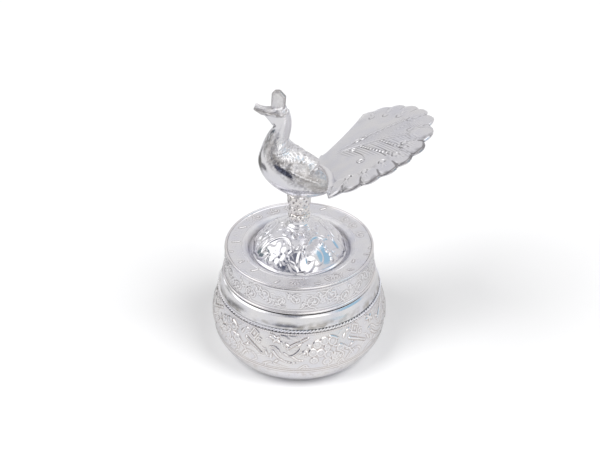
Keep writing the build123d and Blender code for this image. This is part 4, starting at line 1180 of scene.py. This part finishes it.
fan.height = soften(fan.height, 1, wraps=False) + soften(cushions.height, 14, wraps=False)
off_root = np.clip((np.hypot(fan_u + ROOT_REACH + ROOT_LENGTH, fan_v) - 5.5) / 3.0, 0, 1)
fan_under = np.maximum(TAIL_RELIEF - fan.height * off_root, 0) * (1 - rolled) - 0.8 * rolled + edge_drop
fan_back = Chasing(fan_u, fan_v)
for side in (-1, 1):
    for angle in stop_angles[1:-1]:
        path = [(-9, side * angle * 0.03), on_arc(side * angle * 0.9, 10), on_arc(side * angle, 19.5)]
        fan_back.groove(path, 0.6, 0.16)
back_under = TAIL_THICKNESS - edge_drop + soften(fan_back.height, 1, wraps=False)
fan_front, fan_rear = on_fan(fan_u, fan_v, fan_under), on_fan(fan_u, fan_v, back_under)
fan_middle = on_fan(fan_u, fan_v, (fan_under + back_under) / 2)
fan_loops = np.concatenate([fan_front[:, ::-1], fan_rear], 1)
fan_ends = [np.concatenate([fan_middle[row, ::-1], fan_middle[row]])[None] for row in (0, -1)]

# Painted shade along the near edge of the fan: a mottled band inside the scallops, and a darker line on the
# top of the edge's rounding.
outer_near = np.clip((-fan_v - 3) / 3, 0, 1) * np.clip((fan_u + 3) / 3, 0, 1)
near_sides = [(side, 5.0) for side in edge_sides if side[0][1] < -3 and side[0][0] > -3]
rim_band = np.clip(lay(near_sides, np.zeros(fan_u.shape)), 0, 1)
rim_cloud = soften(chance.normal(size=fan_u.shape), 12, wraps=False)
rim_shade = rim_band * np.clip(0.2 + 2.4 * rim_cloud, 0, 0.55)
rim_shade += 0.8 * np.clip(near_edge * 3, 0, 1) * outer_near
fan_wear_and_shade = np.clip(wear(fan.height, 0.04) * off_root + 0.9 * rolled - rim_shade, -1, 1)
fan_wear_and_shade = np.pad(np.concatenate([fan_wear_and_shade[:, ::-1], 0 * fan_wear_and_shade], 1), ((1, 1), (0, 0)))
tail_grid = np.concatenate([fan_ends[0], fan_loops, fan_ends[1]])
tail = skin("peacock_tail_fan", tail_grid, fan_wear_and_shade, open_up=True)
weld(tail)
satin_silver = silver("satin_silver", (0.835, 0.823, 0.832), (0.34, 0.33, 0.34), 0.22, 0.6, 0.006)
fit(tail, satin_silver, "lid", "peacock_tail", "peacock_tail")


# The crest: a small upright plate on the crown, cast with a raised rim round a grained
# field on each face. Rings from the middle of one face to its edge give its relief.
CREST_HALF_WIDTH, CREST_CORNER = 2.1, 0.35
crest_corners = (
    (-7.63, 25.3), (-7.32, 30.22), (-6.49, 31.24), (-5.15, 31.42), (-3.54, 29.71), (-3.83, 25.3),
)
crest_face = (
    (1.6, 0.36), (0.8, 0.38), (0.62, 0.40), (0.5, 0.56), (0.38, 0.6), (0.22, 0.58), (0.06, 0.44),
    (0, 0.25),
)
# The crest's darkness is painted shade, darkest at its rim and edge; a little tarnish and grain lie over the
# whole plate.
crest_darkness = [0, 0, 0, 0.1, 0.2, 0.3, 0.45, 0.5, 0.5]

crest_line = spun_outline([(x, z, CREST_CORNER, 0.12) for x, z in crest_corners])
crest_middle = crest_line.mean(0)
crest_rings = []
for inset, out in crest_face:
    x, z = (crest_middle + (crest_line - crest_middle) * (1 - inset / CREST_HALF_WIDTH)).T
    crest_rings.append(np.stack([x, np.full(len(x), out), z + PERCH_HEIGHT], 1))
crest_rings += [ring * (1, -1, 1) for ring in reversed(crest_rings)]
crest_grain = dice.normal(size=(2 * len(crest_darkness), len(crest_line)))
crest_shade = np.array(crest_darkness + crest_darkness[-2::-1] + [0])[:, None]
crest_tarnish_and_shade = -0.16 - 1.2 * crest_shade + 0.16 * crest_grain
crest = skin("peacock_crest_plate", closed_ends(np.array(crest_rings)), crest_tarnish_and_shade, open_up=True)
weld(crest)
fit(crest, grained_silver, "lid", "peacock_crest", "peacock_crest")
